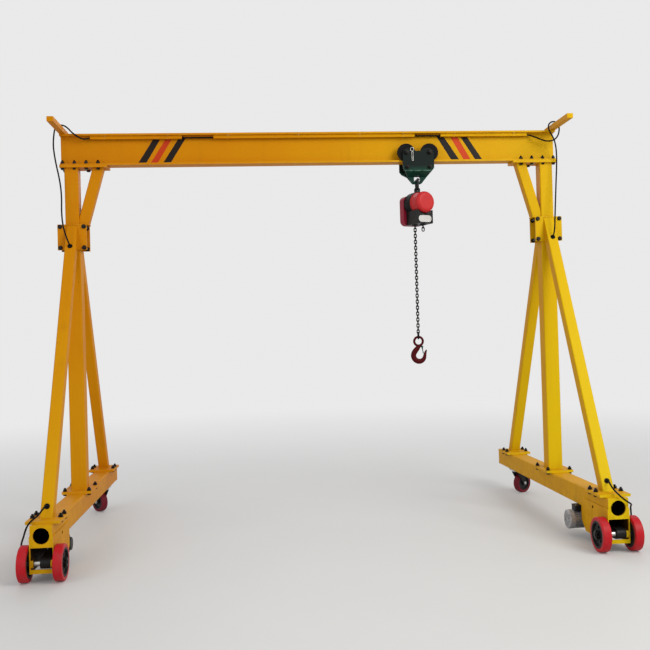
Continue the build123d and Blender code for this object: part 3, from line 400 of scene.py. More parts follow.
white_plate = dull("white_plate", (0.60, 0.60, 0.58), (0.48, 0.48, 0.45), (0.30, 0.45))
wheel_black = dull("oiled_iron", (0.005, 0.004, 0.005), (0.020, 0.013, 0.011), (0.48, 0.65), specular=0.08)
casting = dull("black_casting", (0.009, 0.009, 0.009), (0.030, 0.028, 0.025), (0.36, 0.56), specular=0.18)
print("finishes in all", len(bpy.data.materials))

# %% [markdown]
# ## Finishes on the solids
# The record names a material slot for every solid. One table from slot to finish dresses them all,
# and a second short table makes the few exceptions, such as the darker castor tyres.

# %% Dress the solids
slot_finish = {
    "yellow_paint": yellow, "black_casting": casting, "motor_alloy": alloy, "castor_steel": zinc,
    "bare_steel": steel, "black_hub": hub_black, "red_tyre": tyre_red, "green_paint": green,
    "black_steel": dark_steel, "red_paint": red, "hook_paint": hook_red, "black_rubber": rubber,
}
node_finish = {
    "left_castor_tyre": castor_red, "right_castor_tyre": castor_red, "hoist_shackle": black,
    "hoist_back_cover": cover_red, "left_castor_fork": casting, "right_castor_fork": casting,
    "ground_beams": beam_yellow_shaded_inside, "drive_housings": housing_yellow_shaded_inside,
    "cable_arms": arm_yellow, "cable_conduit": arm_yellow, "hook_latch": latch_green,
}
for end in ("front_left", "front_right", "rear_left", "rear_right"):
    node_finish["trolley_wheel_" + end] = wheel_black


def dress(piece, finish):
    piece.data.materials.clear()
    piece.data.materials.append(finish)


for part in frame["record"]["subparts"]:
    name = part["node"]
    dress(nodes[name], node_finish.get(name, slot_finish[part["material_slot"]]))

# %% [markdown]
# ## Cable routes
# Two power cables leave the ends of the conduit, loop over the arms and hang down into the struts,
# and a lead runs from each strut round the wheel to the drive motor. The points below are the route
# of each cable's solid, in millimetres, from its first end to its last.

# %% Points along the cables
MILLIMETRE = 0.001
cable_routes = {
    "left_power_cable": (
        (-1495, -25, 2657.1), (-1515, -25, 2657.1), (-1538, -40, 2648), (-1568, -65, 2660),
        (-1602, -68, 2684), (-1631, -69, 2718), (-1657, -69, 2736), (-1692, -69, 2737),
        (-1715, -70, 2713), (-1722, -71, 2668), (-1727, -72, 2606), (-1721, -75, 2544),
        (-1709, -79, 2472), (-1692, -85, 2394), (-1680, -90, 2318), (-1675, -98, 2240),
        (-1676, -107, 2165), (-1670, -119, 2092), (-1656, -136, 2028), (-1636, -152, 1975),
        (-1622, -150, 1936.1), (-1622, -124.8, 1923.9),
    ),
    "right_power_cable": (
        (1495, -25, 2657.1), (1515, -25, 2657.1), (1540, -40, 2644), (1568, -58, 2626),
        (1604, -63, 2609), (1646, -66, 2602), (1684, -68, 2614), (1708, -69, 2643),
        (1717, -70, 2682), (1713, -71, 2716), (1692, -73, 2737), (1659, -77, 2737),
        (1635, -82, 2716), (1633, -87, 2684), (1646, -91, 2652), (1668, -93, 2612),
        (1680, -93, 2558), (1683, -92, 2490), (1680, -92, 2415), (1674, -94, 2340),
        (1667, -99, 2264), (1659, -107, 2188), (1650, -119, 2112), (1640, -135, 2044),
        (1630, -152, 1985), (1622, -150, 1936.1), (1622, -124.8, 1923.9),
    ),
    "left_motor_lead": (
        (-1622, -877.8, 381.8), (-1622, -902.9, 394.1), (-1636, -930, 378), (-1650, -962, 354),
        (-1666, -994, 342), (-1684, -1014, 327), (-1700, -1014, 304), (-1715, -1001, 272),
        (-1730, -975, 238), (-1749, -945, 204), (-1761, -915, 170), (-1768, -888, 140),
        (-1760, -852, 118), (-1740, -802, 107), (-1722, -750, 116), (-1710, -706, 136),
        (-1703, -672, 158), (-1702, -652, 172), (-1702, -632, 172),
    ),
    "right_motor_lead": (
        (1622, -877.8, 381.8), (1622, -902.9, 394.1), (1618, -936, 378), (1617, -972, 359),
        (1618, -1006, 346), (1624, -1038, 333), (1636, -1055, 317), (1652, -1057, 304),
        (1671, -1052, 291), (1691, -1040, 279), (1708, -1016, 268), (1720, -984, 257),
        (1732, -950, 238), (1747, -922, 206), (1758, -900, 170), (1762, -876, 140),
        (1752, -844, 118), (1734, -798, 107), (1717, -744, 110), (1706, -690, 124),
        (1702, -638, 143), (1688, -602, 160), (1664, -584, 171), (1636, -582, 172),
        (1616, -582, 172),
    ),
}
print("routes", {name: len(route) for name, route in cable_routes.items()})

# %% [markdown]
# ## Cables
# Rubber cable hangs under its own weight, so each route becomes one smooth NURBS curve instead of
# bent straight pieces. The order is set after the points, because Blender resets it when points are
# added. The curve is measured while it is a bare line, and then gets its round sheath. Each curve
# takes its solid's place, and its real length is printed.

# %% Cable curves
cable_diameter = 0.010


def cable_curve(name, route):
    """A smooth bare line along its route."""
    curve = bpy.data.curves.new(name, "CURVE")
    curve.dimensions = "3D"
    curve.resolution_u = 8
    spline = curve.splines.new("NURBS")
    spline.points.add(len(route) - 1)
    for point, place in zip(spline.points, route):
        point.co = (*(Vector(place) * MILLIMETRE), 1)
    spline.order_u = 3
    spline.use_endpoint_u = True
    return new_object(name, curve)


def curve_length(made):
    line = bpy.data.meshes.new_from_object(made)
    ends = [[line.vertices[index].co for index in edge.vertices] for edge in line.edges]
    total = sum((first - last).length for first, last in ends)
    bpy.data.meshes.remove(line)
    return total


for name, route in cable_routes.items():
    line = cable_curve(name + "_sheath", route)
    length = curve_length(line)
    line.data.bevel_depth = cable_diameter / 2
    line.data.bevel_resolution = 4
    line.data.use_fill_caps = True
    line.data.materials.append(rubber)
    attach(line, "frame")
    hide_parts(name)
    print(name, "length", round(length, 3))

# %% [markdown]
# ## Small turned and skinned parts
# Bolts, nuts, collars and strain reliefs are turnings, a hexagon being a turning with six steps. All
# of them, and the lofted hook further on, are rings of points joined by four-sided faces. So one
# helper skins any rings, one turns a profile into rings, and one finishes the mesh: normals outward,
# smooth faces, and edges kept crisp where two faces meet at more than a set angle. A circle of equal
# steps is behind most of the rings.

# %% Skin, lathe and finish
def circle(steps, shift=0.0):
    """Cosine and sine at equal steps round a circle; shift is a share of one step."""
    angles = [2 * math.pi * (index + shift) / steps for index in range(steps)]
    return [(math.cos(angle), math.sin(angle)) for angle in angles]


def skin(mesh, outlines, closed=False):
    """Joins outlines of equal count with faces; the two ends are capped unless they meet."""
    rings = [[mesh.verts.new(place) for place in outline] for outline in outlines]
    pairs = list(zip(rings, rings[1:]))
    if closed:
        pairs.append((rings[-1], rings[0]))
    for lower, upper in pairs:
        for index in range(len(lower)):
            after = (index + 1) % len(lower)
            mesh.faces.new((lower[index], lower[after], upper[after], upper[index]))
    if not closed:
        mesh.faces.new(list(reversed(rings[0])))
        mesh.faces.new(rings[-1])


def lathe(mesh, profile, steps, closed=False):
    """Turns a profile of (radius, height) about Z; a closed profile makes a ring with a hole."""
    turn = circle(steps)
    skin(mesh, [[(radius * a, radius * b, rise) for a, b in turn] for radius, rise in profile], closed)


def finished_mesh(name, mesh, sharp=35):
    bmesh.ops.recalc_face_normals(mesh, faces=mesh.faces)
    data = bpy.data.meshes.new(name)
    mesh.to_mesh(data)
    mesh.free()
    for face in data.polygons:
        face.use_smooth = True
    data.set_sharp_from_angle(angle=math.radians(sharp))
    return data


def skinned(name, outlines, sharp=35):
    mesh = bmesh.new()
    skin(mesh, outlines)
    return finished_mesh(name, mesh, sharp)


def turned(name, profile, steps, closed=False):
    mesh = bmesh.new()
    lathe(mesh, profile, steps, closed)
    return finished_mesh(name, mesh)


def add_piece(name, data, finish, body):
    """A dressed object that rides on a body."""
    made = new_object(name, data)
    dress(made, finish)
    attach(made, body)
    print(name, len(data.polygons), "faces")
    return made


print("mesh helpers ready")

# %% [markdown]
# ## Bolts and nuts
# A hexagon head on its washer has three details that catch the light: the eased washer rim, the
# chamfered corners of the hexagon and, above a nut, the threads of the stub. Each is two or three
# more steps in a profile, which is cheaper than a sculpted bolt and just as clear at this distance.

# %% Bolt parts
def bolt_mesh(name, across, washer, tall, stub=0.0, core=0.0):
    """Washer and hexagon, across its flats, on the XY plane, with a threaded stub above a nut."""
    mesh = bmesh.new()
    thick = tall * 0.22
    rim = ((washer * 0.94, 0), (washer, thick * 0.3), (washer, thick), (washer * 0.9, thick * 1.05))
    lathe(mesh, rim, 28)
    corner = across / math.sqrt(3)
    low, high = thick * 1.05, thick + tall
    flats = ((corner * 0.9, low), (corner, low + tall * 0.1), (corner, high - tall * 0.12))
    lathe(mesh, flats + ((corner * 0.86, high),), 6)
    if stub:
        turns = 5
        thread = [(core, high)]
        for index in range(turns):
            thread.append((core * 0.88, high + (index + 0.5) * stub / turns))
            thread.append((core, high + (index + 1) * stub / turns))
        thread.append((core * 0.7, high + stub * 1.08))
        lathe(mesh, thread, 18)
    return finished_mesh(name, mesh)


bolt_head = bolt_mesh("bolt_head", 0.022, 0.0148, 0.010)
bolt_nut = bolt_mesh("bolt_nut", 0.022, 0.0148, 0.012, stub=0.008, core=0.007)
small_head = bolt_mesh("small_head", 0.013, 0.0085, 0.006)
large_nut = bolt_mesh("large_nut", 0.028, 0.018, 0.014, stub=0.005, core=0.009)
axle_nut = bolt_mesh("axle_nut", 0.046, 0.0285, 0.0095, stub=0.003, core=0.011)
castor_nut = bolt_mesh("castor_nut", 0.021, 0.0125, 0.0062, stub=0.003, core=0.005)
screw_profile = ((0.0042, 0), (0.0042, 0.0008), (0.0034, 0.0018), (0.0016, 0.0023))
screw_head = turned("screw_head", screw_profile, steps=16)
print("bolt parts", [len(m.polygons) for m in (bolt_head, bolt_nut, small_head, large_nut, axle_nut)])

# %% [markdown]
# ## Repeating parts with Geometry Nodes
# The crane has well over a hundred bolts. Each kind is a mesh of bare points that carry a turn, and
# one node group puts a copy of the part on every point, spins it a little about its own axis so that
# no two hexagons line up, realizes the copies and sets their material.

# %% Scatter node group
scatter = bpy.data.node_groups.new("scatter", "GeometryNodeTree")
kinds = {"Points": "Geometry", "Part": "Object", "Finish": "Material", "Spin": "Float", "Seed": "Int"}
for name, kind in kinds.items():
    scatter.interface.new_socket(name, in_out="INPUT", socket_type="NodeSocket" + kind)
scatter.interface.new_socket("Result", in_out="OUTPUT", socket_type="NodeSocketGeometry")
inlet = scatter.nodes.new("NodeGroupInput").outputs
turn = add_node(scatter, "GeometryNodeInputNamedAttribute", Name="turn")
turn.data_type = "FLOAT_VECTOR"
rotation = add_node(scatter, "FunctionNodeEulerToRotation", Euler=turn.outputs["Attribute"])
chance = add_node(scatter, "FunctionNodeRandomValue", Seed=inlet["Seed"])
chance.data_type = "FLOAT"
scatter.links.new(inlet["Spin"], chance.inputs[3])
spin = add_node(scatter, "FunctionNodeAxisAngleToRotation", Axis=(0, 0, 1), Angle=chance.outputs[1])
spun = add_node(
    scatter, "FunctionNodeRotateRotation", Rotation=rotation.outputs["Rotation"],
    Rotate_By=spin.outputs["Rotation"],
)
spun.rotation_space = "LOCAL"
part = add_node(scatter, "GeometryNodeObjectInfo", Object=inlet["Part"])
copies = add_node(
    scatter, "GeometryNodeInstanceOnPoints", Points=inlet["Points"],
    Instance=part.outputs["Geometry"], Rotation=spun.outputs["Rotation"],
)
real = add_node(scatter, "GeometryNodeRealizeInstances", Geometry=copies.outputs["Instances"])
coated = add_node(
    scatter, "GeometryNodeSetMaterial", Geometry=real.outputs["Geometry"], Material=inlet["Finish"],
)
add_node(scatter, "NodeGroupOutput", Result=coated.outputs["Geometry"])
print("node group", scatter.name, "with", len(scatter.nodes), "nodes")

# %% [markdown]
# ## Using the node group
# A part lies on its own XY plane and points along Z, so a place is a point and a turn. The group's
# inputs are set by their socket identifiers before it is first evaluated. The result is then stored
# as a plain mesh and the modifier is removed, so the piece travels to other programs as it is.

# %% Scatter helper
UP = Euler((0, 0, 0))
DOWN = Euler((math.pi, 0, 0))
FRONT = Euler((math.pi / 2, 0, 0))
REAR = Euler((-math.pi / 2, 0, 0))
LEFT = Euler((0, -math.pi / 2, 0))
RIGHT = Euler((0, math.pi / 2, 0))


def scatter_parts(name, part_mesh, places, finish, body, spin=1.0, seed=1):
    """Copies of a part at (point, turn) places, as one plain mesh that rides on a body."""
    points = bpy.data.meshes.new(name)
    points.from_pydata([place for place, turn in places], [], [])
    turns = points.attributes.new("turn", "FLOAT_VECTOR", "POINT")
    for item, (place, turn) in zip(turns.data, places):
        item.vector = turn
    part = new_object(name + "_part", part_mesh)
    holder = new_object(name, points)
    modifier = holder.modifiers.new("scatter", "NODES")
    modifier.node_group = scatter
    inputs = {"Part": part, "Finish": finish, "Spin": spin, "Seed": seed}
    for item in scatter.interface.items_tree:
        if item.name in inputs:
            modifier[item.identifier] = inputs[item.name]
    bpy.context.view_layer.update()
    graph = bpy.context.evaluated_depsgraph_get()
    holder.data = bpy.data.meshes.new_from_object(holder.evaluated_get(graph))
    holder.modifiers.clear()
    bpy.data.objects.remove(part)
    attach(holder, body)
    print(name, len(places), "copies", len(holder.data.polygons), "faces")
    return holder


print("turns", [tuple(round(math.degrees(a)) for a in turn) for turn in (UP, DOWN, FRONT, REAR)])

# %% [markdown]
# ## Bolts under the girder and round the splices
# The frame comes apart for transport, so its joints are bolted. The girder's lower flange sits on a
# head plate with two rows of four bolts, nuts on top, and four long studs draw the splice plates
# together round each column, locked by a nut inside each plate. Their places come from the boxes of
# the solids they hold.

# %% Girder and splice bolts
girder_low, girder_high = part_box("girder")
head_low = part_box("head_plates")[0]
splice_low, splice_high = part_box("splice_plates")
flange = 0.012
head_bolt_row = 0.040
head_bolt_steps = (-0.176, -0.099, -0.022, 0.055)
plate_bolt_offset = 0.077
splice_bolt_inset = 0.015
splice_plate = 0.010
stud_inset = 0.002
stud_length = splice_high.y - splice_low.y - 2 * stud_inset
stud_steps = 40
stud_radius, thread_depth = 0.0078, 0.0006


def black_bolts(name, part_mesh, places, seed, body="frame"):
    scatter_parts(name, part_mesh, places, black_bolt, body, seed=seed)


flange_nuts, flange_heads, splice_heads, splice_nuts, splice_studs = [], [], [], [], []
for side in (-1, 1):
    for row in (-head_bolt_row, head_bolt_row):
        for step in head_bolt_steps:
            x = side * (half_span + step)
            flange_nuts.append(((x, row, girder_low.z + flange), UP))
            flange_heads.append(((x, row, head_low.z), DOWN))
    for edge in (-1, 1):
        for z in (splice_low.z + splice_bolt_inset, splice_high.z - splice_bolt_inset):
            x = side * half_span + edge * plate_bolt_offset
            splice_heads.append(((x, splice_low.y, z), FRONT))
            splice_nuts.append(((x, splice_high.y, z), REAR))
            splice_nuts.append(((x, splice_low.y + splice_plate, z), REAR))
            splice_nuts.append(((x, splice_high.y - splice_plate, z), FRONT))
            splice_studs.append(((x, splice_low.y + stud_inset, z), REAR))
thread = []
for index in range(stud_steps + 1):
    thread.append((stud_radius - thread_depth * (index % 2), index * stud_length / stud_steps))
black_bolts("flange_bolts", bolt_head, flange_heads, 1)
black_bolts("flange_nuts", bolt_nut, flange_nuts, 2)
black_bolts("splice_bolts", bolt_head, splice_heads, 3)
black_bolts("splice_nuts", bolt_nut, splice_nuts, 4)
black_bolts("splice_studs", turned("stud", thread, steps=16), splice_studs, 5)

# %% [markdown]
# ## Bolts of the feet
# Every column and strut stands on a foot plate, bolted through a pad to the ground beam. The nuts are
# on top, where a spanner reaches them, and the heads are underneath, where the pad overhangs.

# %% Foot bolts
foot_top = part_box("foot_plates")[1].z
pad_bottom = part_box("beam_pads")[0].z
strut_foot = 0.875
strut_bolt_shift = 0.017
strut_bolt_step = 0.042
column_bolt_step = 0.104

foot_places = []
for side in (-1, 1):
    for edge in (-1, 1):
        x = side * half_span + edge * plate_bolt_offset
        for end in (-1, 1):
            foot_places.append((x, end * column_bolt_step))
            for step in (-strut_bolt_step, strut_bolt_step):
                foot_places.append((x, end * (strut_foot - strut_bolt_shift) + step))
black_bolts("foot_nuts", bolt_nut, [((x, y, foot_top), UP) for x, y in foot_places], 6)
black_bolts("foot_heads", bolt_head, [((x, y, pad_bottom), DOWN) for x, y in foot_places], 7)

# %% [markdown]
# ## Weld beads
# Tubes meet plates in fillet welds, a row of small frozen ripples under the paint. A swept tube would
# look like a rubber seal, so one ripple of two dozen faces is scattered along each seam, a little
# closer than its own length. The painted beads take the frame's yellow.

# %% Weld ripples along the seams
weld_step = 0.0055
ripple_length, ripple_half = 0.0075, 0.0045
post_half, column_half, tube_half = 0.045, 0.050, 0.035
brace_offset, brace_top_half = 0.174, 0.0364
brace_foot, brace_foot_half = 1.5483, 0.0287
strut_top, strut_top_half, strut_foot_half = 1.995, 0.0798, 0.0389
arm_edge, arm_half = 1.653, 0.050
nose_y, nose_half, beam_top = -1.022, 0.059, 0.310
housing_side, housing_top = 0.061, 0.250
housing_stitches = ((-1.018, -0.978), (-0.730, -0.650))

ripple = []
for share, size in ((-0.5, 0.35), (-0.25, 0.85), (0.0, 1.0), (0.25, 0.85), (0.5, 0.35)):
    reach = ripple_half * size
    ripple.append([(share * ripple_length, a * reach, b * reach) for a, b in circle(6)])


def seam(corners, closed=True):
    """Places along a line of corners, each turned along it."""
    places = []
    ends = corners[1:] + corners[:1]
    for first, last in list(zip(corners, ends))[:len(corners) if closed else -1]:
        run = Vector(last) - Vector(first)
        count = max(1, round(run.length / weld_step))
        turn = run.to_track_quat("X", "Z").to_euler()
        places += [(Vector(first) + run * ((index + 0.5) / count), turn) for index in range(count)]
    return places


def level_loop(x, y, z, half_x, half_y):
    return [(x + a * half_x, y + b * half_y, z) for a, b in ((-1, -1), (1, -1), (1, 1), (-1, 1))]


welds = []
for side in (-1, 1):
    x = side * half_span
    brace_top = side * (half_span - brace_offset)
    strut_loop = level_loop(x, strut_top, 0, tube_half, strut_top_half)
    welds += seam(level_loop(x, 0, head_low.z, post_half, post_half))
    welds += seam(level_loop(brace_top, 0, head_low.z, brace_top_half, tube_half))
    welds += seam(level_loop(side * brace_foot, 0, splice_high.z, brace_foot_half, tube_half))
    welds += seam(level_loop(x, 0, foot_top, column_half, column_half))
    welds += seam([(side * arm_edge, y, girder_high.z) for y in (-arm_half, arm_half)], False)
    welds += seam([(x + reach, nose_y, beam_top) for reach in (-nose_half, nose_half)], False)
    for end in (-1, 1):
        welds += seam(level_loop(x, end * strut_foot, foot_top, tube_half, strut_foot_half))
        welds += seam([(a, end * splice_high.y, b) for a, b, flat in strut_loop])
        for stitch in housing_stitches:
            welds += seam([(x + end * housing_side, y, housing_top) for y in stitch], False)
bead = skinned("ripple", ripple, sharp=70)
scatter_parts("weld_beads", bead, welds, yellow, "frame", spin=0.0)

# %% [markdown]
# ## Hazard stripes
# Two groups of slanted bars are painted on each side of the girder's web. Paint on a flat web is a
# thin sheet, so each bar is a parallelogram a fraction of a millimetre proud of the steel.

# %% Stripes on the web
web_half = 0.004
stripe_lift = 0.0004
stripe_margin = 0.010
stripe_low = girder_low.z + flange + stripe_margin
stripe_high = girder_high.z - flange - stripe_margin
stripe_bars = {
    "left_first": ((-1.184, -1.131), (-1.077, -1.030), stripe_black),
    "left_middle": ((-1.101, -1.054), (-0.994, -0.953), stripe_red),
    "left_last": ((-1.018, -0.968), (-0.910, -0.863), stripe_black),
    "right_first": ((0.959, 1.016), (0.858, 0.907), stripe_black),
    "right_middle": ((1.048, 1.098), (0.953, 1.003), stripe_red),
    "right_last": ((1.130, 1.180), (1.024, 1.071), stripe_black),
}
for name, (bottom, top, finish) in stripe_bars.items():
    corners = [(x, stripe_low) for x in bottom] + [(x, stripe_high) for x in reversed(top)]
    for face, word in ((-1, "front"), (1, "rear")):
        depths = (face * (web_half + stripe_lift / 4), face * (web_half + stripe_lift))
        bar = skinned("stripe", [[(x, y, z) for x, z in corners] for y in depths], sharp=20)
        add_piece(f"stripe_{name}_{word}", bar, finish, "frame")

# %% [markdown]
# ## Conduit clips
# Bent steel straps hold the conduit against the underside of the top flange. One strap is an outline
# pushed out to its width, with a foot for the screw; eight are enough for the three lengths.

# %% Straps and their screws
conduit_low, conduit_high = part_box("cable_conduit")
conduit_middle = (conduit_low + conduit_high) / 2
clip_width = 0.016
clip_outline = (
    (-0.0230, 0.0112), (-0.0230, 0.0095), (-0.0125, 0.0095), (-0.0125, -0.0125), (0.0125, -0.0125),
    (0.0125, 0.0112), (0.0108, 0.0112), (0.0108, -0.0108), (-0.0108, -0.0108), (-0.0108, 0.0112),
)
clip_stations = (-1.40, -0.98, -0.58, -0.10, 0.32, 0.62, 0.98, 1.40)
clip_screw = (conduit_middle.y - 0.0178, conduit_high.z - 0.0025)
clip_ends = (-clip_width / 2, clip_width / 2)
strap = skinned("strap", [[(x, y, z) for y, z in clip_outline] for x in clip_ends])
clip_places = [((x, conduit_middle.y, conduit_middle.z), UP) for x in clip_stations]
screw_places = [((x, *clip_screw), DOWN) for x in clip_stations]
scatter_parts("conduit_clips", strap, clip_places, yellow, "frame", spin=0.0)
scatter_parts("conduit_screws", screw_head, screw_places, zinc, "frame", seed=8)

# %% [markdown]
# ## Trolley nuts
# Each wheel axle and each spacer bar ends in a nut outside a side plate. The nuts ride on the trolley,
# since the axles stand still and only the wheels turn on them.

# %% Axle and spacer nuts
spacer_low, spacer_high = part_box("trolley_spacers")
trolley_middle = (spacer_low.x + spacer_high.x) / 2
plate_face = 0.078
axle_height = 2.5343
axle_half = 0.080
spacer_half = 0.078
spacer_height = (spacer_low.z + spacer_high.z) / 2
axle_places, spacer_places = [], []
for face, turn in ((-1, FRONT), (1, REAR)):
    y = face * plate_face
    for side in (-1, 1):
        axle_places.append(((trolley_middle + side * axle_half, y, axle_height), turn))
        spacer_places.append(((trolley_middle + side * spacer_half, y, spacer_height), turn))
black_bolts("trolley_axle_nuts", large_nut, axle_places, 9, "trolley")
black_bolts("trolley_spacer_nuts", bolt_nut, spacer_places, 10, "trolley")

# %% [markdown]
# ## Rings and links
# Chain links, the coupling link, the hook's eye and the wire ring on the trolley are all round bar
# bent into an oval. One helper sweeps the bar: a ring of points at each step round the oval, skinned
# with the last ring joined to the first.

# %% Oval of round bar
def oval(mesh, bar, inner, steps, sides, middle=(0, 0, 0)):
    """Round bar swept round an upright oval in the XZ plane; inner is its clear height and width."""
    radius = inner[1] / 2 + bar / 2
    straight = (inner[0] - inner[1]) / 2
    rings = []
    for aside, rise in circle(steps, 0.5):
        outward = Vector((aside, 0, rise))
        centre = Vector(middle) + outward * radius
        centre.z += math.copysign(straight, rise)
        rings.append([centre + (outward * a + Vector((0, b, 0))) * bar / 2 for a, b in circle(sides)])
    skin(mesh, rings, closed=True)


def oval_link(name, bar, inner, steps, sides):
    mesh = bmesh.new()
    oval(mesh, bar, inner, steps, sides)
    return finished_mesh(name, mesh, sharp=60)


mesh = bmesh.new()
ring_place = Vector((0.671, -0.0802, 2.553))
oval(mesh, 0.004, (0.020, 0.020), 24, 8, ring_place)
oval(mesh, 0.0036, (0.046, 0.006), 28, 8, ring_place + Vector((0.002, 0, -0.0405)))
oval(mesh, 0.0036, (0.008, 0.008), 20, 8, ring_place + Vector((0.003, 0, -0.0730)))
wire_clip = finished_mesh("wire_clip", mesh, sharp=60)
add_piece("trolley_wire_clip", wire_clip, zinc, "trolley")

# %% [markdown]
# ## Load chain
# Each link of the chain is turned a quarter from the last. The solids use six-sided bar to stay
# light, so one round link is swept here and scattered down the load run and the short tail. The links
# and the round coupling take the place of their solids.

# %% Round chain links
chain_bar = 0.007
chain_inner = (0.021, 0.009)
chain_pitch = 0.0207
chain_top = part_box("load_chain")[1].z - chain_bar - chain_inner[0] / 2
chain_runs = ((37, 0.692, 0.0), (3, 0.740, -0.040))
link_places = []
for count, x, y in chain_runs:
    for index in range(count):
        turn = Euler((0, 0, math.pi / 2 * (index % 2)))
        link_places.append(((x, y, chain_top - index * chain_pitch), turn))
link_part = oval_link("link", chain_bar, chain_inner, 28, 10)
chain = scatter_parts("chain_links", link_part, link_places, dark_steel, "hoist", spin=0.0)
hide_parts("load_chain")
coupling_low, coupling_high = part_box("coupling_link")
coupling_part = oval_link("coupling", 0.009, (0.036, 0.020), 36, 14)
coupling_place = [((coupling_low + coupling_high) / 2, Euler((0, 0, math.pi / 2)))]
round_coupling = scatter_parts(
    "coupling_round", coupling_part, coupling_place, dark_steel, "hoist", spin=0.0,
)
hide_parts("coupling_link")

# %% [markdown]
# ## Forged hook
# A lifting hook is forged: its section swells round the bowl, thins towards the point and has no
# sharp edge anywhere. Sawing it from plate would show. It is lofted through a row of rounded
# sections that follow the middle of the bowl, and a subdivision surface takes out the last facets.
# The eye is an oval of bar, and a small lug carries the latch.

# %% Hook sections and eye
bowl = Vector((0.697, 0, 1.1405))
shank_sections = (
    (-5.0, 70.0, 13.0, 9.0), (-5.5, 61.0, 15.0, 11.5), (-15.0, 47.0, 17.5, 12.5), (-30.0, 31.0, 19.5, 13.0),
    (-41.0, 13.0, 19.5, 13.0), (-44.0, -3.0, 19.3, 13.0), (-38.5, -21.5, 19.3, 13.0),
    (-26.0, -35.5, 19.2, 13.0), (-8.5, -43.0, 19.0, 13.0), (9.0, -41.5, 18.0, 12.8),
    (24.0, -33.0, 16.5, 12.3), (34.0, -17.5, 13.5, 11.5), (37.0, 0.0, 11.2, 10.2), (40.5, 17.0, 8.8, 8.8),
    (46.5, 31.0, 6.2, 7.2), (50.0, 37.5, 4.0, 5.2),
)
lug_sections = (
    (2.0, 61.5, 5.2, 4.0), (12.0, 60.5, 5.6, 4.0), (19.0, 59.0, 7.0, 4.0), (22.5, 59.0, 6.0, 4.0),
    (25.0, 59.0, 3.6, 3.6), (25.9, 59.0, 1.2, 2.0),
)


def loft(mesh, sections, sides):
    """Rounded sections of (x, z, half width, half thickness) in millimetres from the bowl's middle."""
    spots = [Vector((x, 0, z)) for x, z, wide, thick in sections]
    rings = []
    for index, (x, z, wide, thick) in enumerate(sections):
        along = spots[min(index + 1, len(spots) - 1)] - spots[max(index - 1, 0)]
        across = Vector((0, 1, 0)).cross(along).normalized()
        ring = [spots[index] + across * wide * a + Vector((0, thick * b, 0)) for a, b in circle(sides)]
        rings.append([bowl + spot * MILLIMETRE for spot in ring])
    skin(mesh, rings)


mesh = bmesh.new()
loft(mesh, shank_sections, 16)
loft(mesh, lug_sections, 12)
eye_bar, eye_clear = 0.017, 0.0435
oval(mesh, eye_bar, (eye_clear, eye_clear), 32, 12, bowl + Vector((-0.005, 0, 0.097)))
forging = finished_mesh("forged_hook", mesh, sharp=180)
hook = add_piece("forged_hook", forging, hook_red, "hook")
rounding = hook.modifiers.new("rounding", "SUBSURF")
rounding.levels = 2
rounding.render_levels = 2
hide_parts("lifting_hook")
print("hook bowl at", bowl)

# %% [markdown]
# ## Plate and screws of the hoist's box
# A bare white plate, round at both ends, is riveted to the front of the control box. The hoist hangs
# turned a little from the girder, so its parts are placed in the hoist's own frame, and one matrix
# turns them all.

# %% Plate, rivets and box screws
hoist_turn = math.radians(23)
hoist_frame = Matrix.Translation((0.714, 0, 0)) @ Matrix.Rotation(hoist_turn, 4, "Z")
HOIST_FRONT = Euler((math.pi / 2, 0, hoist_turn))
HOIST_REAR = Euler((-math.pi / 2, 0, hoist_turn))
box_front = -0.092
box_screw_x, box_screw_heights = 0.0545, (2.0490, 2.1215)
pill_x, pill_height = -0.004, 2.0755
rivet_step, rivet_lift = 0.044, 0.0014


def rounded_plate(name, width, depth, corner, thick):
    """A flat plate on the XY plane with round corners and an eased top edge."""
    ease = thick * 0.3
    rings = []
    for inset, rise in ((0, 0), (0, thick - ease), (ease, thick)):
        ring = []
        for a, b in circle(40, 0.5):
            x = math.copysign(width / 2 - corner, a) + (corner - inset) * a
            y = math.copysign(depth / 2 - corner, b) + (corner - inset) * b
            ring.append((x, y, rise))
        rings.append(ring)
    return skinned(name, rings)


def on_hoist(across, y, heights, turn):
    """Places in the hoist's frame, at every crossing of some columns and rows."""
    return [(hoist_frame @ Vector((x, y, z)), turn) for x in across for z in heights]


pill = rounded_plate("pill", width=0.104, depth=0.046, corner=0.023, thick=0.0016)
pill_place = on_hoist((pill_x,), box_front, (pill_height,), HOIST_FRONT)
scatter_parts("hoist_name_plate", pill, pill_place, white_plate, "hoist", spin=0.0)
rivet_columns = (pill_x - rivet_step, pill_x + rivet_step)
rivets = on_hoist(rivet_columns, box_front - rivet_lift, (pill_height,), HOIST_FRONT)
scatter_parts("hoist_plate_rivets", screw_head, rivets, steel, "hoist", seed=11)
box_screws = on_hoist((-box_screw_x, box_screw_x), box_front, box_screw_heights, HOIST_FRONT)
scatter_parts("hoist_box_screws", screw_head, box_screws, casting, "hoist", seed=21)

# %% [markdown]
# ## Hoist band, cover screws and chain guides
# The red cap is pressed onto the body under a rolled band, the rear cover is held by six screws, and
# two collars under the box guide the chain. The band and the collars are closed turnings, rings with
# a hole, so the lathe joins the last profile point to the first.

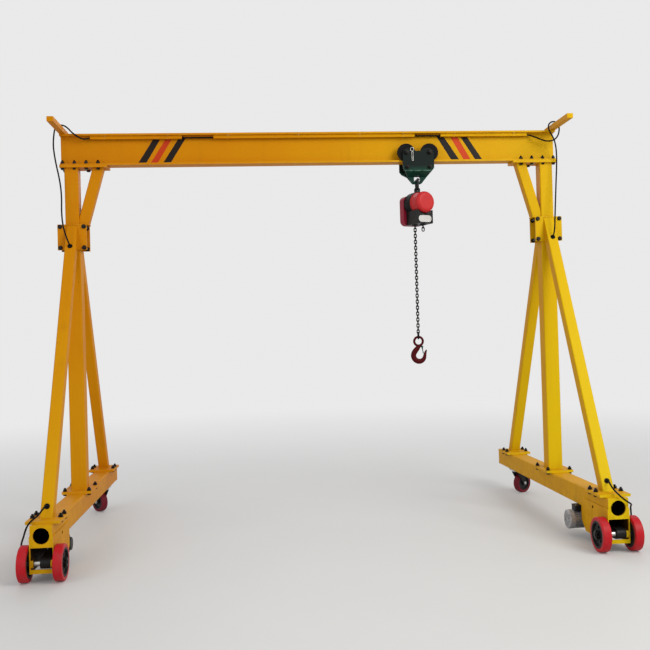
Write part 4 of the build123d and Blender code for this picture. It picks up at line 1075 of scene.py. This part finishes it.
# %% Band, screws and collars
cover_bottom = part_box("hoist_back_cover")[0].z
hoist_height = 2.1903
cover_rear = 0.105
cover_screw_x, cover_screw_heights = 0.062, (2.0660, 2.1450, 2.2230)
band_front = -0.018
band_profile = (
    (0.0715, 0), (0.0752, 0), (0.0762, 0.0015), (0.0762, 0.0065), (0.0752, 0.0080), (0.0715, 0.0080),
)
band_place = on_hoist((0,), band_front, (hoist_height,), HOIST_FRONT)
band_part = turned("band", band_profile, steps=64, closed=True)
scatter_parts("hoist_cap_band", band_part, band_place, red, "hoist", spin=0.0)
cover_places = on_hoist((-cover_screw_x, cover_screw_x), cover_rear, cover_screw_heights, HOIST_REAR)
scatter_parts("hoist_cover_screws", small_head, cover_places, zinc, "hoist", seed=12)
collar_profile = ((0.0138, -0.002), (0.0210, -0.002), (0.0210, 0.005), (0.0195, 0.0065), (0.0138, 0.0065))
collar_places = [((x, y, cover_bottom), DOWN) for count, x, y in chain_runs]
collar_part = turned("collar", collar_profile, steps=32, closed=True)
scatter_parts("hoist_chain_collars", collar_part, collar_places, casting, "hoist", spin=0.0)

# %% [markdown]
# ## Drive wheel bolts
# Five bolts hold each hub to its drive plate, and a large hexagon nut closes each end of the axle.
# They turn with the wheels, so they ride on the wheels' bodies.

# %% Hub bolts and axle nuts
drive_axle = Vector((0, -1.000, 0.100))
wheel_offset = 0.095
disc_face = 0.013
hub_bolt_radius = 0.042
axle_end = 0.120
for side, word in ((-1, "left"), (1, "right")):
    hub_places, nut_places = [], []
    for face, turn in ((-1, LEFT), (1, RIGHT)):
        x = side * half_span + face * (wheel_offset + disc_face)
        for a, b in circle(5, 0.25):
            spot = drive_axle + Vector((x, hub_bolt_radius * a, hub_bolt_radius * b))
            hub_places.append((spot, turn))
        nut_places.append(((side * half_span + face * axle_end, drive_axle.y, drive_axle.z), turn))
    body = word + "_drive_wheels"
    black_bolts(word + "_hub_bolts", small_head, hub_places, 13, body)
    scatter_parts(word + "_axle_nuts", axle_nut, nut_places, dark_steel, body, seed=14)

# %% [markdown]
# ## Castor nuts and bolts
# The castors hang by a square plate with four bolts, and a bolt with a nut at each end is the axle.
# The nuts follow the fork as it swivels, and their direction is square to the way the wheel points.

# %% Castor hardware
castor_nut_out = 0.031
plate_bolt_step = 0.042
castor_pivot_y = 0.800
castor_plate_lower = 0.182
plate_places = []
for side, word in ((-1, "left"), (1, "right")):
    tyre_low, tyre_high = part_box(word + "_castor_tyre")
    centre = (tyre_low + tyre_high) / 2
    trail = Vector((centre.x - side * half_span, centre.y - castor_pivot_y, 0)).normalized()
    axle = Vector((-trail.y, trail.x, 0))
    nut_places = []
    for face in (-1, 1):
        turn = (axle * face).to_track_quat("Z", "Y").to_euler()
        nut_places.append((centre + axle * face * castor_nut_out, turn))
        for end in (-1, 1):
            x = side * half_span + face * plate_bolt_step
            y = castor_pivot_y + end * plate_bolt_step
            plate_places.append(((x, y, castor_plate_lower), DOWN))
    body = word + "_castor"
    scatter_parts(body + "_nuts", castor_nut, nut_places, zinc, body, seed=15)
scatter_parts("castor_plate_bolts", small_head, plate_places, zinc, "frame", seed=16)

# %% [markdown]
# ## Motor screws, box lids and strain reliefs
# Each drive motor has a fan cover with four screws and a terminal box with a lid. Its lead enters
# through a gland with a hexagon and leaves it in a tapered rubber sleeve, which keeps the lead from
# kinking at the edge. The sleeve is a turning whose ribs get smaller towards the cable.

# %% Motor details
fan_face = 0.135
fan_screw_radius = 0.051
motor_axis = Vector((0, -0.582, 0.100))
box_middle = 0.059
box_top = 0.186
lid_screw_x, lid_screw_y, lid_thick = 0.0855, 0.0235, 0.003
fan_places, lid_places, lid_screws = [], [], []
for side in (-1, 1):
    x = side * half_span
    for a, b in circle(4, 0.5):
        spot = motor_axis + Vector((x - fan_face, fan_screw_radius * a, fan_screw_radius * b))
        fan_places.append((spot, LEFT))
    lid_places.append(((x - box_middle, motor_axis.y, box_top), UP))
    for end in (-1, 1):
        spot = (x - lid_screw_x, motor_axis.y + end * lid_screw_y, box_top + lid_thick)
        lid_screws.append((spot, UP))
lid_part = rounded_plate("lid", width=0.070, depth=0.064, corner=0.008, thick=0.0032)
scatter_parts("fan_screws", screw_head, fan_places, steel, "frame", seed=17)
scatter_parts("terminal_lids", lid_part, lid_places, casting, "frame", spin=0.0)
scatter_parts("terminal_screws", screw_head, lid_screws, steel, "frame", seed=18)

sleeve_profile = [(0.0086, 0), (0.0086, 0.003)]
for index in range(6):
    size = 0.0082 - index * 0.0004
    sleeve_profile += [(size - 0.0009, 0.0042 + index * 0.003), (size, 0.0056 + index * 0.003)]
sleeve_profile.append((0.0056, 0.0230))
sleeve = turned("sleeve", sleeve_profile, steps=20)
gland_profile = ((0.0105, 0), (0.0115, 0.001), (0.0115, 0.007), (0.0103, 0.008))
gland_nut = turned("gland_nut", gland_profile, steps=6)
gland_places, sleeve_places = [], []
for name, turn, to_gland in (
    ("right_motor_lead", RIGHT, Vector((-0.020, 0, 0))),
    ("left_motor_lead", FRONT, Vector((0, 0.020, 0))),
):
    lead_end = Vector(cable_routes[name][-1]) * MILLIMETRE
    gland_places.append((lead_end + to_gland, turn))
    sleeve_places.append((lead_end, turn))
scatter_parts("gland_nuts", gland_nut, gland_places, casting, "frame", seed=19)
scatter_parts("lead_strain_reliefs", sleeve, sleeve_places, rubber, "frame", seed=20)

# %% [markdown]
# ## Floor
# A pale floor carries the soft shadows of the wheels and beams. Far from the crane it should meet the
# backdrop without a line. So with distance it turns into a plain glow of the backdrop's tone, but only
# for the camera and for reflections; as a source of bounced light it stays a floor.

# %% Floor that fades into the backdrop
backdrop_tone = 0.82
floor_tone = 0.66
floor_half = 60.0
floor_middle = (0, -0.6, 0)
fade_near = 0.4
fade_far = 10.0


def seen_rays(tree):
    """1 for rays from the camera, in reflections or through glass; 0 for light."""
    rays = tree.nodes.new("ShaderNodeLightPath").outputs
    seen = rays["Is Camera Ray"]
    for name in ("Is Glossy Ray", "Is Transmission Ray"):
        seen = compute(tree, "MAXIMUM", seen, rays[name])
    return seen


def blend_shaders(tree, share, first, second, output):
    """Sends a mix of two shaders to the output node."""
    blend = add_node(tree, "ShaderNodeMixShader", Fac=share)
    tree.links.new(first, blend.inputs[1])
    tree.links.new(second, blend.inputs[2])
    tree.links.new(blend.outputs["Shader"], tree.nodes[output].inputs["Surface"])


floor_finish, tree, shader = new_finish("pale_floor", specular=0.3)
shade = object_noise(tree, 0.8)
tone = mix_colour(tree, shade, (floor_tone,) * 3, (floor_tone * 0.95,) * 3)
tree.links.new(tone, shader.inputs["Base Color"])
shader.inputs["Roughness"].default_value = 0.55
away = measure(tree, "DISTANCE", object_place(tree), floor_middle)
fade = mask(tree, away, fade_near, fade_far)
glow = add_node(tree, "ShaderNodeEmission", Color=(1, 1, 1, 1), Strength=backdrop_tone)
share = multiply(tree, fade, seen_rays(tree))
blend_shaders(tree, share, shader.outputs["BSDF"], glow.outputs["Emission"], "Material Output")
floor_mesh = bpy.data.meshes.new("floor")
floor_corners = [(x * floor_half, y * floor_half, 0) for x, y in ((-1, -1), (1, -1), (1, 1), (-1, 1))]
floor_mesh.from_pydata(floor_corners, [], [(0, 1, 2, 3)])
floor = new_object("floor", floor_mesh)
dress(floor, floor_finish)
print("floor of", 2 * floor_half, "metres, fading from", fade_near, "to", fade_far)

# %% [markdown]
# ## Light
# Light falls from above and from the right, so the right-hand faces are brightest and the left leg is
# in half shade. A large lamp at the front right gives that, with a weak one at the left to keep the
# shade open and one behind for the edges. The world looks pale to the camera and in reflections, but
# lights the steel at an ordinary level.

# %% Lamps and world
world_strength = 0.58


def area_lamp(name, place, target, size, power, tint=(1, 1, 1)):
    lamp = bpy.data.lights.new(name, "AREA")
    lamp.size = size
    lamp.energy = power
    lamp.color = tint
    made = new_object(name, lamp)
    made.location = place
    made.rotation_euler = (Vector(target) - Vector(place)).to_track_quat("-Z", "Y").to_euler()


area_lamp("key", (3.6, -4.2, 4.4), (0.6, 0, 1.1), size=3.0, power=200, tint=(1.0, 0.99, 0.94))
area_lamp("fill", (-5.0, -5.5, 3.0), (0, 0, 1.2), size=3.0, power=75, tint=(1.0, 0.98, 0.94))
area_lamp("back", (0, 6.0, 5.0), (0, 0, 1.2), size=4.0, power=80)

world = bpy.data.worlds.new("world")
bpy.context.scene.world = world
world.use_nodes = True
sky = world.node_tree
soft = sky.nodes["Background"]
soft.inputs["Color"].default_value = (1, 1, 1, 1)
soft.inputs["Strength"].default_value = world_strength
pale = add_node(sky, "ShaderNodeBackground", Color=(1, 1, 1, 1), Strength=backdrop_tone)
shades = (soft.outputs["Background"], pale.outputs["Background"])
blend_shaders(sky, seen_rays(sky), *shades, "World Output")
bpy.context.scene.view_settings.view_transform = "Standard"
